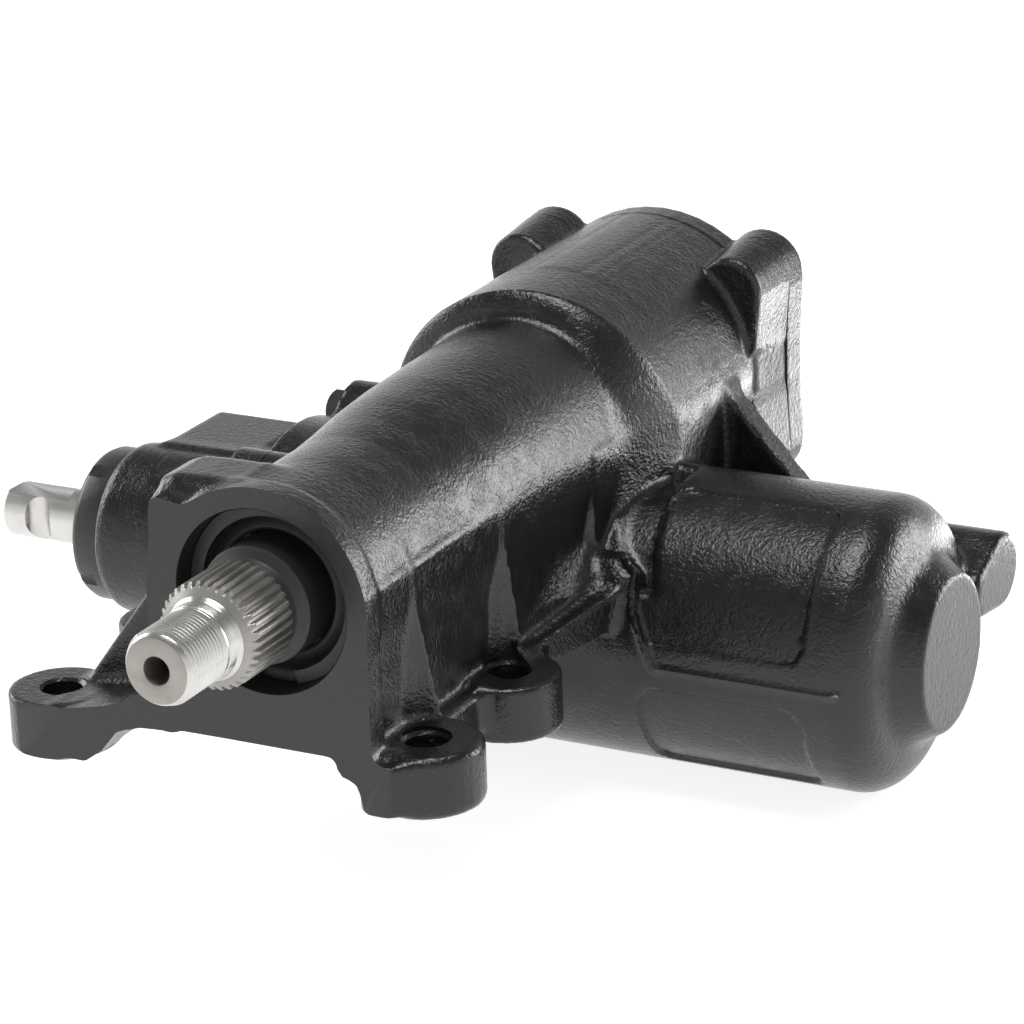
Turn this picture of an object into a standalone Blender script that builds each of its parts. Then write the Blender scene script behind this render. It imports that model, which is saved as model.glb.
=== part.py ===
"""Power steering gearbox with a recirculating-ball rack piston.

Working frame while modelling, in millimetres: the sector shaft runs along Y
through x = 0, z = 0 with its threaded end at y = 0. The worm runs along X
through y = WORM_Y, z = WORM_Z. SHIFT moves that frame so that the origin lies
on the seat of the front left foot, inboard of its bolt hole, with the four
seats in the plane z = 0.
"""
import bpy
import bmesh
import numpy as np
from math import acos, cos, pi, radians, sin, sqrt, tan

MM = 0.001

# Clearances
GAP = 0.3
PLAY = 0.25
OVERCUT = 5.0

# Axes
WORM_Y = 222.0
WORM_Z = -56.0

# Sector and rack teeth
PITCH_R = 30.0
TEETH_ROUND = 12
PRESSURE_ANGLE = radians(20.0)
SECTOR_ADDENDUM = 5.0
SECTOR_DEDENDUM = 4.8
RACK_ADDENDUM = 3.4
RACK_DEDENDUM = 5.5
FLANK_PLAY = 0.3
GEAR_HALF_WIDTH = 21.5
GEAR_SIDE_ROOM = 4.0
SECTOR_HUB_R = 23.0
SECTOR_TIP_R = PITCH_R + SECTOR_ADDENDUM
SECTOR_ROOT_R = PITCH_R - SECTOR_DEDENDUM

# Sector shaft, from its threaded end
THREAD_R = 11.1
THREAD_END_Y = 23.0
THREAD_CHAMFER = 1.4
RELIEF_R = 9.6
SPLINE_FROM_Y = 26.0
SPLINE_TO_Y = 46.5
SPLINE_R = 15.875
SPLINE_DEPTH = 1.325
SPLINE_DIVISIONS = 36
SPLINE_LAND = 0.30
UNDERCUT_R = 14.2
JOURNAL_FROM_Y = 51.0
JOURNAL_R = 17.45
CENTRE_DRILL_R = 4.0
CENTRE_DRILL_DEPTH = 6.0
CENTRE_PILOT_R = 1.4

# Ball screw
LEAD = 12.7
BALL_R = 3.175
BALL_CIRCLE_R = 12.0
GROOVE_PLAY = 0.575
GROOVE_R = BALL_R + GROOVE_PLAY
LAND_CLEARANCE = 1.0
WORM_LAND_R = BALL_CIRCLE_R - LAND_CLEARANCE
NUT_LAND_R = BALL_CIRCLE_R + LAND_CLEARANCE
BALL_COUNT = 10
BALL_TURNS = 2.5
CIRCUIT_X = -19.0
WORM_THREAD_FROM_X = -43.0
WORM_THREAD_TO_X = 37.0

# Ball return guide, its clamp and screws
GUIDE_LEG = 3.4
GUIDE_WALL = 2.45
GUIDE_TOP = 18.0
GUIDE_INNER = 24.9
GUIDE_OUTER = 30.6
GUIDE_POCKET = 24.6
GUIDE_POCKET_END = 6.5
GUIDE_POCKET_HALF = 9.0
CLAMP_THICK = 2.0
CLAMP_INSET = 5.0
CLAMP_EDGE = 0.4
SCREW_R = 1.5
SCREW_HEAD = 1.4
SCREW_HEAD_THICK = 1.8
SCREW_OFFSET = 6.0
SCREW_DEPTH = 6.0

# Rack piston and its cylinder
BORE_R = 38.0
PISTON_CLEARANCE = 0.4
PISTON_R = BORE_R - PISTON_CLEARANCE
PISTON_FROM_X = -50.0
PISTON_LENGTH = 138.0
PISTON_TO_X = PISTON_FROM_X + PISTON_LENGTH
PISTON_CHAMFER = 1.5
STROKE = 22.5
END_ROOM = 3.5
RACK_LENGTH = 106.0
RING_WIDTH = 3.0
RING_DEPTH = 3.2
RING_FROM_END = 14.0
RING_X = PISTON_TO_X - RING_FROM_END
HOLLOW_WALL = 2.9
PISTON_HOLLOW_R = NUT_LAND_R + HOLLOW_WALL
HOLLOW_FROM_END = 26.0
PISTON_HOLLOW_TO_X = PISTON_TO_X - HOLLOW_FROM_END
CYL_WALL = 8.0
CYL_R = BORE_R + CYL_WALL
CYL_FROM_X = -75.0
CYL_BORE_END_X = PISTON_TO_X + STROKE + END_ROOM
DOME_ROOF = 2.0
CYL_DOME_X = CYL_BORE_END_X + DOME_ROOF
DOME_LENGTH = 15.5
BOSS_ROOT_R = 28.5
BOSS_R = 24.0
BOSS_STAND = 8.0
BOSS_CHAMFER = 1.0
BOSS_END_X = CYL_DOME_X + DOME_LENGTH + BOSS_STAND

# Tube, seals and bearings of the sector shaft
SEAL_SECTION = 9.65
SEAL_BORE_R = JOURNAL_R + SEAL_SECTION
NEEDLE_SECTION = 5.05
BEARING_BORE_R = JOURNAL_R + NEEDLE_SECTION
SHAFT_ROOM = 1.15
STEP_ROOM = 1.4
SHAFT_CLEARANCE_R = JOURNAL_R + SHAFT_ROOM
TUBE_FRONT_WALL = 4.9
TUBE_FRONT_R = SEAL_BORE_R + TUBE_FRONT_WALL
TUBE_FLARE = 4.5
TUBE_REAR_R = TUBE_FRONT_R + TUBE_FLARE
FRONT_Y = 54.4
SEAL_BORE_DEPTH = 24.6
SEAL_BORE_TO_Y = FRONT_Y + SEAL_BORE_DEPTH
BEARING_LENGTH = 28.0
BEARING_STEP = 4.0
FRONT_BEARING_Y = SEAL_BORE_TO_Y + BEARING_STEP
CHAMBER_FROM_Y = WORM_Y - GEAR_HALF_WIDTH - GEAR_SIDE_ROOM
REAR_BEARING_STEP = 2.5
REAR_BEARING_Y = CHAMBER_FROM_Y - REAR_BEARING_STEP - BEARING_LENGTH
SNAP_RING_FROM_FRONT = 7.0
SNAP_RING_THICK = 1.6
SNAP_RING_INNER_R = 22.6
DUST_SEAL_LENGTH = 5.4
WASHER_THICK = 1.4
STACK_GAP = 0.4

# Gear chamber
CHAMBER_R = 38.5
CHAMBER_WALL = 6.0
DRUM_R = CHAMBER_R + CHAMBER_WALL
DRUM_SHOULDER = 7.5
DRUM_LENGTH = 109.5
DRUM_SHOULDER_FROM_Y = CHAMBER_FROM_Y + DRUM_SHOULDER
JOINT_Y = CHAMBER_FROM_Y + DRUM_LENGTH
CHEEK_INSET = 0.7
CHEEK_LENGTH = 74.5
EAR_R = 11.0
EAR_OUT_X = -6.8
EAR_OUT_Z = -16.2
EAR_X = DRUM_R + EAR_OUT_X
EAR_Z = DRUM_R + EAR_OUT_Z
EAR_LENGTH = 20.0
EAR_FROM_Y = JOINT_Y - EAR_LENGTH
FLANGE_THICK = 3.0
TAIL_R = 4.5
TAIL_OUT_X = 5.8
TAIL_DROP = 14.0
TAIL_SETBACK = 3.0

# Front plate, skirt and ribs
PLATE_THICK = 12.0
PLATE_SIDE = 4.0
PLATE_RISE = 2.8
SKIRT_HALF = 34.0
SKIRT_OVERLAP = 2.5
SKIRT_END_Y = CHAMBER_FROM_Y + SKIRT_OVERLAP
RIB_THICK = 8.0
RIB_TOP_FRONT_Z = 8.0
RIB_TOP_REAR_Z = 2.0
RECESS_HALF = 26.0
RECESS_FROM_Y = 66.0
RECESS_TO_Y = 120.0
RECESS_DEPTH = 24.0

# Wedge between chamber and cylinder
GUSSET_BEHIND_AXIS = 45.5
GUSSET_THICK = 9.0
GUSSET_FROM_Y = WORM_Y + GUSSET_BEHIND_AXIS
GUSSET_REACH = 36.0
GUSSET_TOP_Z = 1.0
GUSSET_OUTER_Z = WORM_Z + 12.0
GUSSET_LOW_Z = WORM_Z + 2.0

# Mounting feet
FOOT_THICK = 17.0
FOOT_TOP_Z = -43.5
FOOT_BOTTOM_Z = FOOT_TOP_Z - FOOT_THICK
FOOT_R = 16.0
FOOT_HOLE_R = 6.0
FOOT_THREAD_R = 6.4
FOOT_A = (-78.5, 69.0)
FOOT_B = (39.0, 75.5)
FOOT_C = (36.0, 131.0)
FOOT_D = (-78.0, 128.0)
FOOT_ARM_HALF = 12.0
FOOT_ARM_IN = 5.0
LEFT_ARM_THICK = 26.0
LEFT_ARM_UNDER = 0.8
LEDGE_X = 40.0
LEDGE_TO_AXIS = 22.0
LEDGE_END_Y = WORM_Y - LEDGE_TO_AXIS
LEDGE_RISE = 6.0
LUG_R = 11.0
LUG_BEHIND_AXIS = 51.0
LUG_OVER_AXIS = 6.0
LUG_Y = WORM_Y + LUG_BEHIND_AXIS
LUG_Z = WORM_Z + LUG_OVER_AXIS
LUG_FROM_X = 113.0
LUG_TO_X = 136.5
SEAT_INBOARD = 11.0

# Side cover
COVER_THICK = 10.0
SPIGOT_CLEARANCE = 0.4
COVER_SPIGOT_R = CHAMBER_R - SPIGOT_CLEARANCE
SPIGOT_LENGTH = 40.0
COVER_SPIGOT_FROM_Y = JOINT_Y - SPIGOT_LENGTH
SPIGOT_WAIST = 3.0
ORING_GROOVE = 3.6
ORING_GROOVE_DEPTH = 2.9
ORING_LAND = 2.3
BUSH_SECTION = 2.75
COVER_BUSH_R = JOURNAL_R + BUSH_SECTION
COVER_INSET = 0.5
COVER_EAR_INSET = 0.4
ADJUSTER_BOSS_R = 15.0
ADJUSTER_BOSS_RISE = 5.7
ADJUSTER_BOSS_Y = JOINT_Y + GAP + COVER_THICK + ADJUSTER_BOSS_RISE
ADJUSTER_R = 5.0
ADJUSTER_HEAD_R = 8.5
ADJUSTER_HEAD_THICK = 3.5
ADJUSTER_STAND = 10.0
ADJUSTER_END_Y = ADJUSTER_BOSS_Y + ADJUSTER_STAND
RETAINER_THICK = 3.2
LOCK_NUT_HALF = 8.5
LOCK_NUT_THICK = 6.2
SLOT_ROOM = 0.7
SLOT_R = ADJUSTER_HEAD_R + SLOT_ROOM
SLOT_DEPTH = 9.0
SHAFT_REAR_ROOM = 6.0
SHAFT_END_Y = JOINT_Y - SHAFT_REAR_ROOM
SLOT_FROM_Y = SHAFT_END_Y - SLOT_DEPTH
SHAFT_CHAMFER = 1.0

# Bolts of cover and valve housing
BOLT_R = 4.9
BOLT_HOLE_ROOM = 0.4
BOLT_HEAD_R = 8.4
BOLT_HEAD_H = 7.0
BOLT_WASHER = 1.6
BOLT_REACH = 16.0
VALVE_BOLT_R = 4.0
VALVE_BOLT_HEAD_R = 6.5
VALVE_BOLT_REACH = 8.5
VALVE_HOLE_DEPTH = 10.0

# Worm bearings between the two housings
VALVE_FACE_X = CYL_FROM_X - GAP
POCKET_R = 21.0
RETAINER_DEPTH = 4.7
BALL_BEARING_THICK = 4.2
RACE_COLLAR_THICK = 3.9
RACE_COLLAR_R = 16.5
RETAINER_IN_R = 12.4
WORM_NECK_R = 11.6
WORM_SPIGOT_R = 8.0
WORM_SPIGOT_LENGTH = 6.0
DRIVE_COLLAR_R = 13.0
DRIVE_COLLAR_THICK = 4.0
DRIVE_COLLAR_GAP = 1.4
THREAD_RUNOUT_R = 10.0
RETAINER_X = VALVE_FACE_X - RETAINER_DEPTH
RACE_RIGHT_X = RETAINER_X - BALL_BEARING_THICK - 2.0 * GAP
RACE_LEFT_X = RACE_RIGHT_X - RACE_COLLAR_THICK
POCKET_TO_X = RACE_LEFT_X - BALL_BEARING_THICK - 2.0 * GAP
COLLAR_RIGHT_X = POCKET_TO_X - DRIVE_COLLAR_GAP
COLLAR_LEFT_X = COLLAR_RIGHT_X - DRIVE_COLLAR_THICK
SPIGOT_LEFT_X = COLLAR_LEFT_X - WORM_SPIGOT_LENGTH

# Valve housing
VALVE_FLANGE_THICK = 11.7
VALVE_FLANGE_X = VALVE_FACE_X - VALVE_FLANGE_THICK
VALVE_FLANGE_INSET = 1.0
VALVE_BORE_R = 19.5
VALVE_WALL = 9.0
VALVE_R = VALVE_BORE_R + VALVE_WALL
VALVE_NECK = 2.5
VALVE_NECK_LENGTH = 14.0
VALVE_TAPER_LENGTH = 25.0
VALVE_CHAMFER = 1.5
FLANGE_BOLT_Y = 36.5
FLANGE_BOLT_TOP_Z = 37.0
FLANGE_BOLT_LOW_Z = 35.0
FLANGE_LOBE_R = 10.5
LOBE_ROOT_R = 20.0
PORT_FROM_END = 16.7
PORT_PITCH = 18.0
PORT_OVER_AXIS = 20.0
PORT_Z = WORM_Z + PORT_OVER_AXIS
PORT_R = 8.0
PORT_DEPTH = 10.0
PORT_PASSAGE_R = 2.6
PORT_SEAT_THICK = 3.7
PORT_PAD_OUT = 40.0
PORT_PAD_Y = WORM_Y + PORT_PAD_OUT
PORT_PAD_END = 12.0
PORT_PAD_LOW = 10.0
PORT_PAD_HIGH = 10.5

# Rotary valve and input shaft
SLEEVE_PLAY = 0.6
SLEEVE_R = VALVE_BORE_R - SLEEVE_PLAY
SLEEVE_LENGTH = 34.8
SLEEVE_FROM_X = POCKET_TO_X - DRIVE_COLLAR_GAP - SLEEVE_LENGTH - GAP
SLEEVE_TO_X = SLEEVE_FROM_X + SLEEVE_LENGTH
SLEEVE_GROOVES = (2.5, 11.3, 20.5)
SLEEVE_GROOVE_WIDTH = 2.5
SLEEVE_GROOVE_DEPTH = 1.8
VALVE_RING_WIDTH = 2.1
SLEEVE_PORTS = (8.0, 17.0, 27.0)
SLEEVE_PORT_R = 1.5
SPOOL_R = 11.8
SPOOL_OVERHANG = 1.5
SPOOL_END_ROOM = 1.0
SPOOL_FLUTE_R = 1.6
SPOOL_TAPER = 1.5
INPUT_R = 9.5
INPUT_STICKOUT = 41.5
INPUT_CHAMFER = 1.2
INPUT_FLAT = 7.4
INPUT_FLAT_LENGTH = 25.0
NOTCH_R = 5.2
NOTCH_OFFSET = 1.6
NOTCH_FROM_END = 14.5
TORSION_R = 3.6
TORSION_WAIST_R = 2.8
TORSION_ROOM = 0.6
TORSION_BORE_R = TORSION_R + TORSION_ROOM
TORSION_HEAD = 36.0
TORSION_FOOT = 13.5
TORSION_TAPER = 4.0
TORSION_PLUG = 14.0
WORM_BORE_DEPTH = 16.0

# Adjuster plug, lock ring, bearing and seals at the input end
PLUG_WALL = 1.2
PLUG_THREAD_R = VALVE_BORE_R + PLUG_WALL
PLUG_DEPTH = 17.2
LOCK_RING_R = 27.5
LOCK_RING_THICK = 10.7
LOCK_RING_CHAMFER = 2.5
PLUG_STAND = 1.3
PLUG_ROOM = 2.5
PLUG_FROM_X = SLEEVE_FROM_X - PLUG_ROOM
VALVE_END_X = PLUG_FROM_X - PLUG_DEPTH
PORT_X = (VALVE_END_X + PORT_FROM_END, VALVE_END_X + PORT_FROM_END + PORT_PITCH)
LOCK_RING_END_X = VALVE_END_X - GAP - LOCK_RING_THICK
PLUG_END_X = LOCK_RING_END_X - PLUG_STAND
PLUG_SEAL_R = 14.2
PLUG_BEARING_R = 13.4
PLUG_LIP_R = 10.4
PLUG_LIP_THICK = 3.5
PLUG_SEAL_DEPTH = 11.0
BEARING_END_ROOM = 2.0
OIL_SEAL_LENGTH = 5.2
INPUT_RING_THICK = 1.4
INPUT_RING_R = 11.4
INPUT_DUST_LENGTH = 2.8
INPUT_END_X = PLUG_END_X - INPUT_STICKOUT

SHIFT = np.array([-FOOT_A[0] - SEAT_INBOARD, -FOOT_A[1], -FOOT_BOTTOM_Z])

# Facets round a full turn
SEG = 20
FINE_SEG = 16
HOLE_SEG = 12
SMALL_SEG = 8


def clear_scene():
    for obj in list(bpy.data.objects):
        bpy.data.objects.remove(obj, do_unlink=True)


def make_material(name, colour, rough, metal):
    mat = bpy.data.materials.new(name)
    mat.use_nodes = True
    shader = mat.node_tree.nodes["Principled BSDF"]
    shader.inputs["Base Color"].default_value = (*colour, 1.0)
    shader.inputs["Roughness"].default_value = rough
    shader.inputs["Metallic"].default_value = metal
    return mat


def axis_point(axis, along, u, v):
    """Point from a distance along an axis and two cross coordinates."""
    if axis == "x":
        return (along, u, v)
    if axis == "y":
        return (u, along, v)
    return (u, v, along)


def tidy_mesh(bm):
    bmesh.ops.remove_doubles(bm, verts=bm.verts, dist=1e-4)
    bmesh.ops.recalc_face_normals(bm, faces=bm.faces)


def raw_object(name, bm):
    """Turn a bmesh in working millimetres into an object placed at the origin."""
    mesh = bpy.data.meshes.new(name)
    bm.to_mesh(mesh)
    bm.free()
    obj = bpy.data.objects.new(name, mesh)
    bpy.context.scene.collection.objects.link(obj)
    return obj


def lathe(axis, centre, loop, seg=SEG):
    """Solid of revolution. loop is a closed outline of (along, radius) pairs."""
    bm = bmesh.new()
    rings = []
    for along, rad in loop:
        if rad < 1e-6:
            vert = bm.verts.new(axis_point(axis, along, centre[0], centre[1]))
            rings.append([vert] * seg)
            continue
        ring = []
        for k in range(seg):
            ang = 2.0 * pi * k / seg
            place = (centre[0] + rad * cos(ang), centre[1] + rad * sin(ang))
            ring.append(bm.verts.new(axis_point(axis, along, *place)))
        rings.append(ring)
    count = len(rings)
    for i in range(count):
        a, b = rings[i], rings[(i + 1) % count]
        if loop[i][1] < 1e-6 and loop[(i + 1) % count][1] < 1e-6:
            continue
        for k in range(seg):
            j = (k + 1) % seg
            quad = [a[k], a[j], b[j], b[k]]
            face = [v for n, v in enumerate(quad) if v not in quad[:n]]
            if len(face) > 2:
                bm.faces.new(face)
    tidy_mesh(bm)
    return bm


def rod(axis, centre, lo, hi, rad, seg=SEG):
    return lathe(axis, centre, [(lo, 0.0), (lo, rad), (hi, rad), (hi, 0.0)], seg)


def tube(axis, centre, lo, hi, inner, outer, seg=SEG):
    return lathe(axis, centre, [(lo, inner), (lo, outer), (hi, outer), (hi, inner)], seg)


def prism(axis, outline, lo, hi):
    """Straight extrusion of an outline of cross coordinates between lo and hi."""
    bm = bmesh.new()
    low = [bm.verts.new(axis_point(axis, lo, *p)) for p in outline]
    top = [bm.verts.new(axis_point(axis, hi, *p)) for p in outline]
    count = len(outline)
    for k in range(count):
        j = (k + 1) % count
        bm.faces.new([low[k], low[j], top[j], top[k]])
    bm.faces.new(low)
    bm.faces.new(top)
    tidy_mesh(bm)
    return bm


def box(lo, hi):
    outline = [(lo[0], lo[1]), (hi[0], lo[1]), (hi[0], hi[1]), (lo[0], hi[1])]
    return prism("z", outline, lo[2], hi[2])


def hull_outline(circles, step=24):
    """Convex outline around several circles given as (u, v, radius)."""
    points = []
    for u, v, rad in circles:
        for deg in range(0, 360, step):
            points.append((u + rad * cos(radians(deg)), v + rad * sin(radians(deg))))
    points = sorted(set((round(p[0], 5), round(p[1], 5)) for p in points))

    def half(seq):
        out = []
        for p in seq:
            while len(out) > 1:
                ax, ay = out[-1][0] - out[-2][0], out[-1][1] - out[-2][1]
                bx, by = p[0] - out[-2][0], p[1] - out[-2][1]
                if ax * by - ay * bx > 1e-4:
                    break
                out.pop()
            out.append(p)
        return out[:-1]

    return half(points) + half(points[::-1])


def combine(base, others, how):
    """Boolean of a base object with several bmeshes at once, applied to its mesh."""
    group = bpy.data.collections.new("tools")
    bpy.context.scene.collection.children.link(group)
    tools = [raw_object("tool", bm) for bm in others]
    for tool in tools:
        bpy.context.scene.collection.objects.unlink(tool)
        group.objects.link(tool)
    mod = base.modifiers.new("cut", "BOOLEAN")
    mod.operation = how
    mod.solver = "EXACT"
    mod.operand_type = "COLLECTION"
    mod.collection = group
    graph = bpy.context.evaluated_depsgraph_get()
    mesh = bpy.data.meshes.new_from_object(base.evaluated_get(graph))
    base.modifiers.clear()
    old = base.data
    base.data = mesh
    bpy.data.meshes.remove(old)
    for tool in tools:
        bpy.data.objects.remove(tool, do_unlink=True)
    bpy.data.collections.remove(group)
    return base


def finish(obj, name, mat, origin=(0.0, 0.0, 0.0), smooth=True):
    """Scale to metres, set the object's origin, material and shading."""
    mesh = obj.data
    bm = bmesh.new()
    bm.from_mesh(mesh)
    bmesh.ops.remove_doubles(bm, verts=bm.verts, dist=2e-3)
    bmesh.ops.dissolve_degenerate(bm, edges=bm.edges, dist=1e-3)
    for vert in bm.verts:
        vert.co = [(vert.co[k] - origin[k]) * MM for k in range(3)]
    bmesh.ops.recalc_face_normals(bm, faces=bm.faces)
    for face in bm.faces:
        face.smooth = smooth
    for edge in bm.edges:
        if len(edge.link_faces) == 2 and edge.calc_face_angle(0.0) > radians(32.0):
            edge.smooth = False
    bm.to_mesh(mesh)
    bm.free()
    obj.name = name
    mesh.name = name
    obj.location = [(origin[k] + SHIFT[k]) * MM for k in range(3)]
    mesh.materials.clear()
    mesh.materials.append(mat)
    return obj


def piece(name, bm, mat, origin=(0.0, 0.0, 0.0)):
    return finish(raw_object(name, bm), name, mat, origin)


def screw_rod(x_from, x_to, step, seg, profile):
    """Rod along the worm axis whose radius comes from profile(x, angle)."""
    count = int(round((x_to - x_from) / step))
    bm = bmesh.new()
    rings = []
    for i in range(count + 1):
        x = x_from + (x_to - x_from) * i / count
        ring = []
        for k in range(seg):
            ang = 2.0 * pi * k / seg
            rad = profile(x, ang)
            ring.append(bm.verts.new((x, WORM_Y + rad * cos(ang), WORM_Z + rad * sin(ang))))
        rings.append(ring)
    for a, b in zip(rings[:-1], rings[1:]):
        for k in range(seg):
            j = (k + 1) % seg
            bm.faces.new([a[k], a[j], b[j], b[k]])
    bm.faces.new(rings[0])
    bm.faces.new(rings[-1])
    tidy_mesh(bm)
    return bm


def hexagon(centre, across_half, turn=0.0):
    rad = across_half / cos(pi / 6.0)
    angles = [turn + k * pi / 3.0 for k in range(6)]
    return [(centre[0] + rad * cos(a), centre[1] + rad * sin(a)) for a in angles]


def helix_distance(x, ang):
    """Axial distance from the nearest turn of the ball helix."""
    turn = (x - CIRCUIT_X) / LEAD - ang / (2.0 * pi)
    return (turn - round(turn)) * LEAD


def groove_depth(x, ang):
    """How far the ball groove reaches from the ball circle at this point."""
    d = helix_distance(x, ang)
    if abs(d) >= GROOVE_R:
        return 0.0
    return sqrt(GROOVE_R ** 2 - d ** 2)


def tooth_half_angle(rad):
    """Half thickness angle of an involute sector tooth at a radius."""
    base = PITCH_R * cos(PRESSURE_ANGLE)
    pitch_half = pi / (2.0 * TEETH_ROUND) - FLANK_PLAY / PITCH_R
    alpha = acos(min(1.0, base / rad))
    return pitch_half + (tan(PRESSURE_ANGLE) - PRESSURE_ANGLE) - (tan(alpha) - alpha)


def sector_outline():
    """Three teeth pointing down to the rack and a round hub above them."""
    points = []
    base = PITCH_R * cos(PRESSURE_ANGLE)
    step = 2.0 * pi / TEETH_ROUND
    radii = [base + (SECTOR_TIP_R - base) * k / 6.0 for k in range(7)]
    for k in (-1, 0, 1):
        mid = -pi / 2.0 + k * step
        root_half = step / 2.0 - 0.012
        if k == -1:
            points.append((SECTOR_ROOT_R, mid - root_half))
        points.append((SECTOR_ROOT_R, mid - tooth_half_angle(base)))
        points += [(r, mid - tooth_half_angle(r)) for r in radii]
        points += [(r, mid + tooth_half_angle(r)) for r in reversed(radii)]
        points.append((SECTOR_ROOT_R, mid + tooth_half_angle(base)))
        if k == 1:
            points.append((SECTOR_ROOT_R, mid + root_half))
    first = points[0][1]
    last = points[-1][1]
    span = 2.0 * pi - (last - first)
    for k in range(1, FINE_SEG):
        points.append((SECTOR_HUB_R, last + span * k / FINE_SEG))
    return [(r * cos(a), r * sin(a)) for r, a in points]


def spline_section():
    """Serrated outline with four double-width teeth."""
    points = []
    step = 2.0 * pi / SPLINE_DIVISIONS
    quarter = SPLINE_DIVISIONS // 4
    for k in range(SPLINE_DIVISIONS):
        mid = k * step
        points.append((SPLINE_R, mid - SPLINE_LAND * step))
        if k % quarter != quarter // 2:
            points.append((SPLINE_R - SPLINE_DEPTH, mid))
        points.append((SPLINE_R, mid + SPLINE_LAND * step))
    return [(r * cos(a), r * sin(a)) for r, a in points]


def build_sector_shaft(mat):
    c = (0.0, 0.0)
    neck_y = SPLINE_FROM_Y + 1.0
    body = raw_object("sector", lathe("y", c, [
        (0.0, 0.0), (0.0, THREAD_R - THREAD_CHAMFER), (THREAD_CHAMFER, THREAD_R),
        (THREAD_END_Y, THREAD_R), (THREAD_END_Y + 0.8, RELIEF_R), (neck_y, RELIEF_R + 2.0),
        (neck_y, UNDERCUT_R), (JOURNAL_FROM_Y - 2.0, UNDERCUT_R), (JOURNAL_FROM_Y, JOURNAL_R),
        (SHAFT_END_Y - SHAFT_CHAMFER, JOURNAL_R), (SHAFT_END_Y, JOURNAL_R - SHAFT_CHAMFER),
        (SHAFT_END_Y, SLOT_R), (SLOT_FROM_Y, SLOT_R), (SLOT_FROM_Y, 0.0)]))
    spline = prism("y", spline_section(), SPLINE_FROM_Y, SPLINE_TO_Y)
    gear = prism("y", sector_outline(), WORM_Y - GEAR_HALF_WIDTH, WORM_Y + GEAR_HALF_WIDTH)
    combine(body, [spline, gear], "UNION")
    drill = lathe("y", c, [(-1.0, 0.0), (-1.0, CENTRE_DRILL_R + 1.0), (0.0, CENTRE_DRILL_R),
                           (CENTRE_DRILL_DEPTH * 0.6, CENTRE_PILOT_R),
                           (CENTRE_DRILL_DEPTH, CENTRE_PILOT_R),
                           (CENTRE_DRILL_DEPTH + 0.8, 0.0)])
    combine(body, [drill], "DIFFERENCE")
    return finish(body, "sector_shaft", mat, (0.0, WORM_Y, 0.0))


def foot_outline(centre):
    """Plan outline of a right foot: a round end joined to the skirt."""
    cx, cy = centre
    return hull_outline([(cx, cy, FOOT_R), (cx - FOOT_ARM_IN, cy, FOOT_ARM_HALF)])


def ear_places():
    return [(sx * EAR_X, sz * EAR_Z) for sx in (1, -1) for sz in (1, -1)]


def ear_tail(place, rad):
    """Outline of an ear that narrows towards the middle of the flange."""
    x, z = place
    side_x = 1.0 if x > 0.0 else -1.0
    side_z = 1.0 if z > 0.0 else -1.0
    return hull_outline([(x, z, rad),
                         (x + side_x * TAIL_OUT_X, z - side_z * TAIL_DROP, TAIL_R)])


def flange_bolt_places():
    top = WORM_Z + FLANGE_BOLT_TOP_Z
    low = WORM_Z - FLANGE_BOLT_LOW_Z
    return [(WORM_Y + s * FLANGE_BOLT_Y, z) for s in (1, -1) for z in (top, low)]


def flange_lobe(place):
    """Outline of one bolt lobe of the valve flange."""
    return hull_outline([(*place, FLANGE_LOBE_R), (WORM_Y, WORM_Z, LOBE_ROOT_R)])


def tube_and_drum():
    """Long tube round the sector shaft that widens into the gear chamber."""
    mid_y = (FRONT_Y + CHAMBER_FROM_Y) / 2.0
    return lathe("y", (0.0, 0.0), [
        (FRONT_Y, 0.0), (FRONT_Y, TUBE_FRONT_R), (mid_y - 15.0, TUBE_FRONT_R + 1.0),
        (mid_y + 20.0, TUBE_REAR_R - 1.5), (CHAMBER_FROM_Y - 6.5, TUBE_REAR_R),
        (DRUM_SHOULDER_FROM_Y, DRUM_R - 2.0), (DRUM_SHOULDER_FROM_Y + 8.0, DRUM_R),
        (JOINT_Y, DRUM_R), (JOINT_Y, 0.0)])


def cylinder_form():
    """Power cylinder with its closed, domed end and the round boss on it."""
    return lathe("x", (WORM_Y, WORM_Z), [
        (CYL_FROM_X, 0.0), (CYL_FROM_X, CYL_R), (CYL_DOME_X, CYL_R),
        (CYL_DOME_X + 7.0, CYL_R - 2.5), (CYL_DOME_X + 12.5, CYL_R - CYL_WALL),
        (CYL_DOME_X + DOME_LENGTH, BOSS_ROOT_R), (BOSS_END_X - BOSS_CHAMFER, BOSS_R + 1.0),
        (BOSS_END_X, BOSS_R), (BOSS_END_X, 0.0)])


def front_plate():
    """Flat front of the tube with its raised upper left corner."""
    side = TUBE_FRONT_R + PLATE_SIDE
    top = TUBE_FRONT_R + PLATE_RISE
    return prism("y", [(-side, -20.0), (-side + 1.5, top - 6.8), (-side + 6.0, top - 1.8),
                       (-side + 14.0, top), (-9.0, top - 0.4), (4.0, top - 5.8),
                       (4.0, -20.0)], FRONT_Y, FRONT_Y + PLATE_THICK)


def rib(top_x, top_z, mid_y):
    """Rib from the side of the tube down to a foot."""
    foot = FOOT_TOP_Z - 6.5
    root = top_x - 4.0
    return prism("y", [(root, top_z), (top_x, top_z - 2.0), (top_x + 12.0, foot), (root, foot)],
                 mid_y - RIB_THICK / 2.0, mid_y + RIB_THICK / 2.0)


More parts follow.
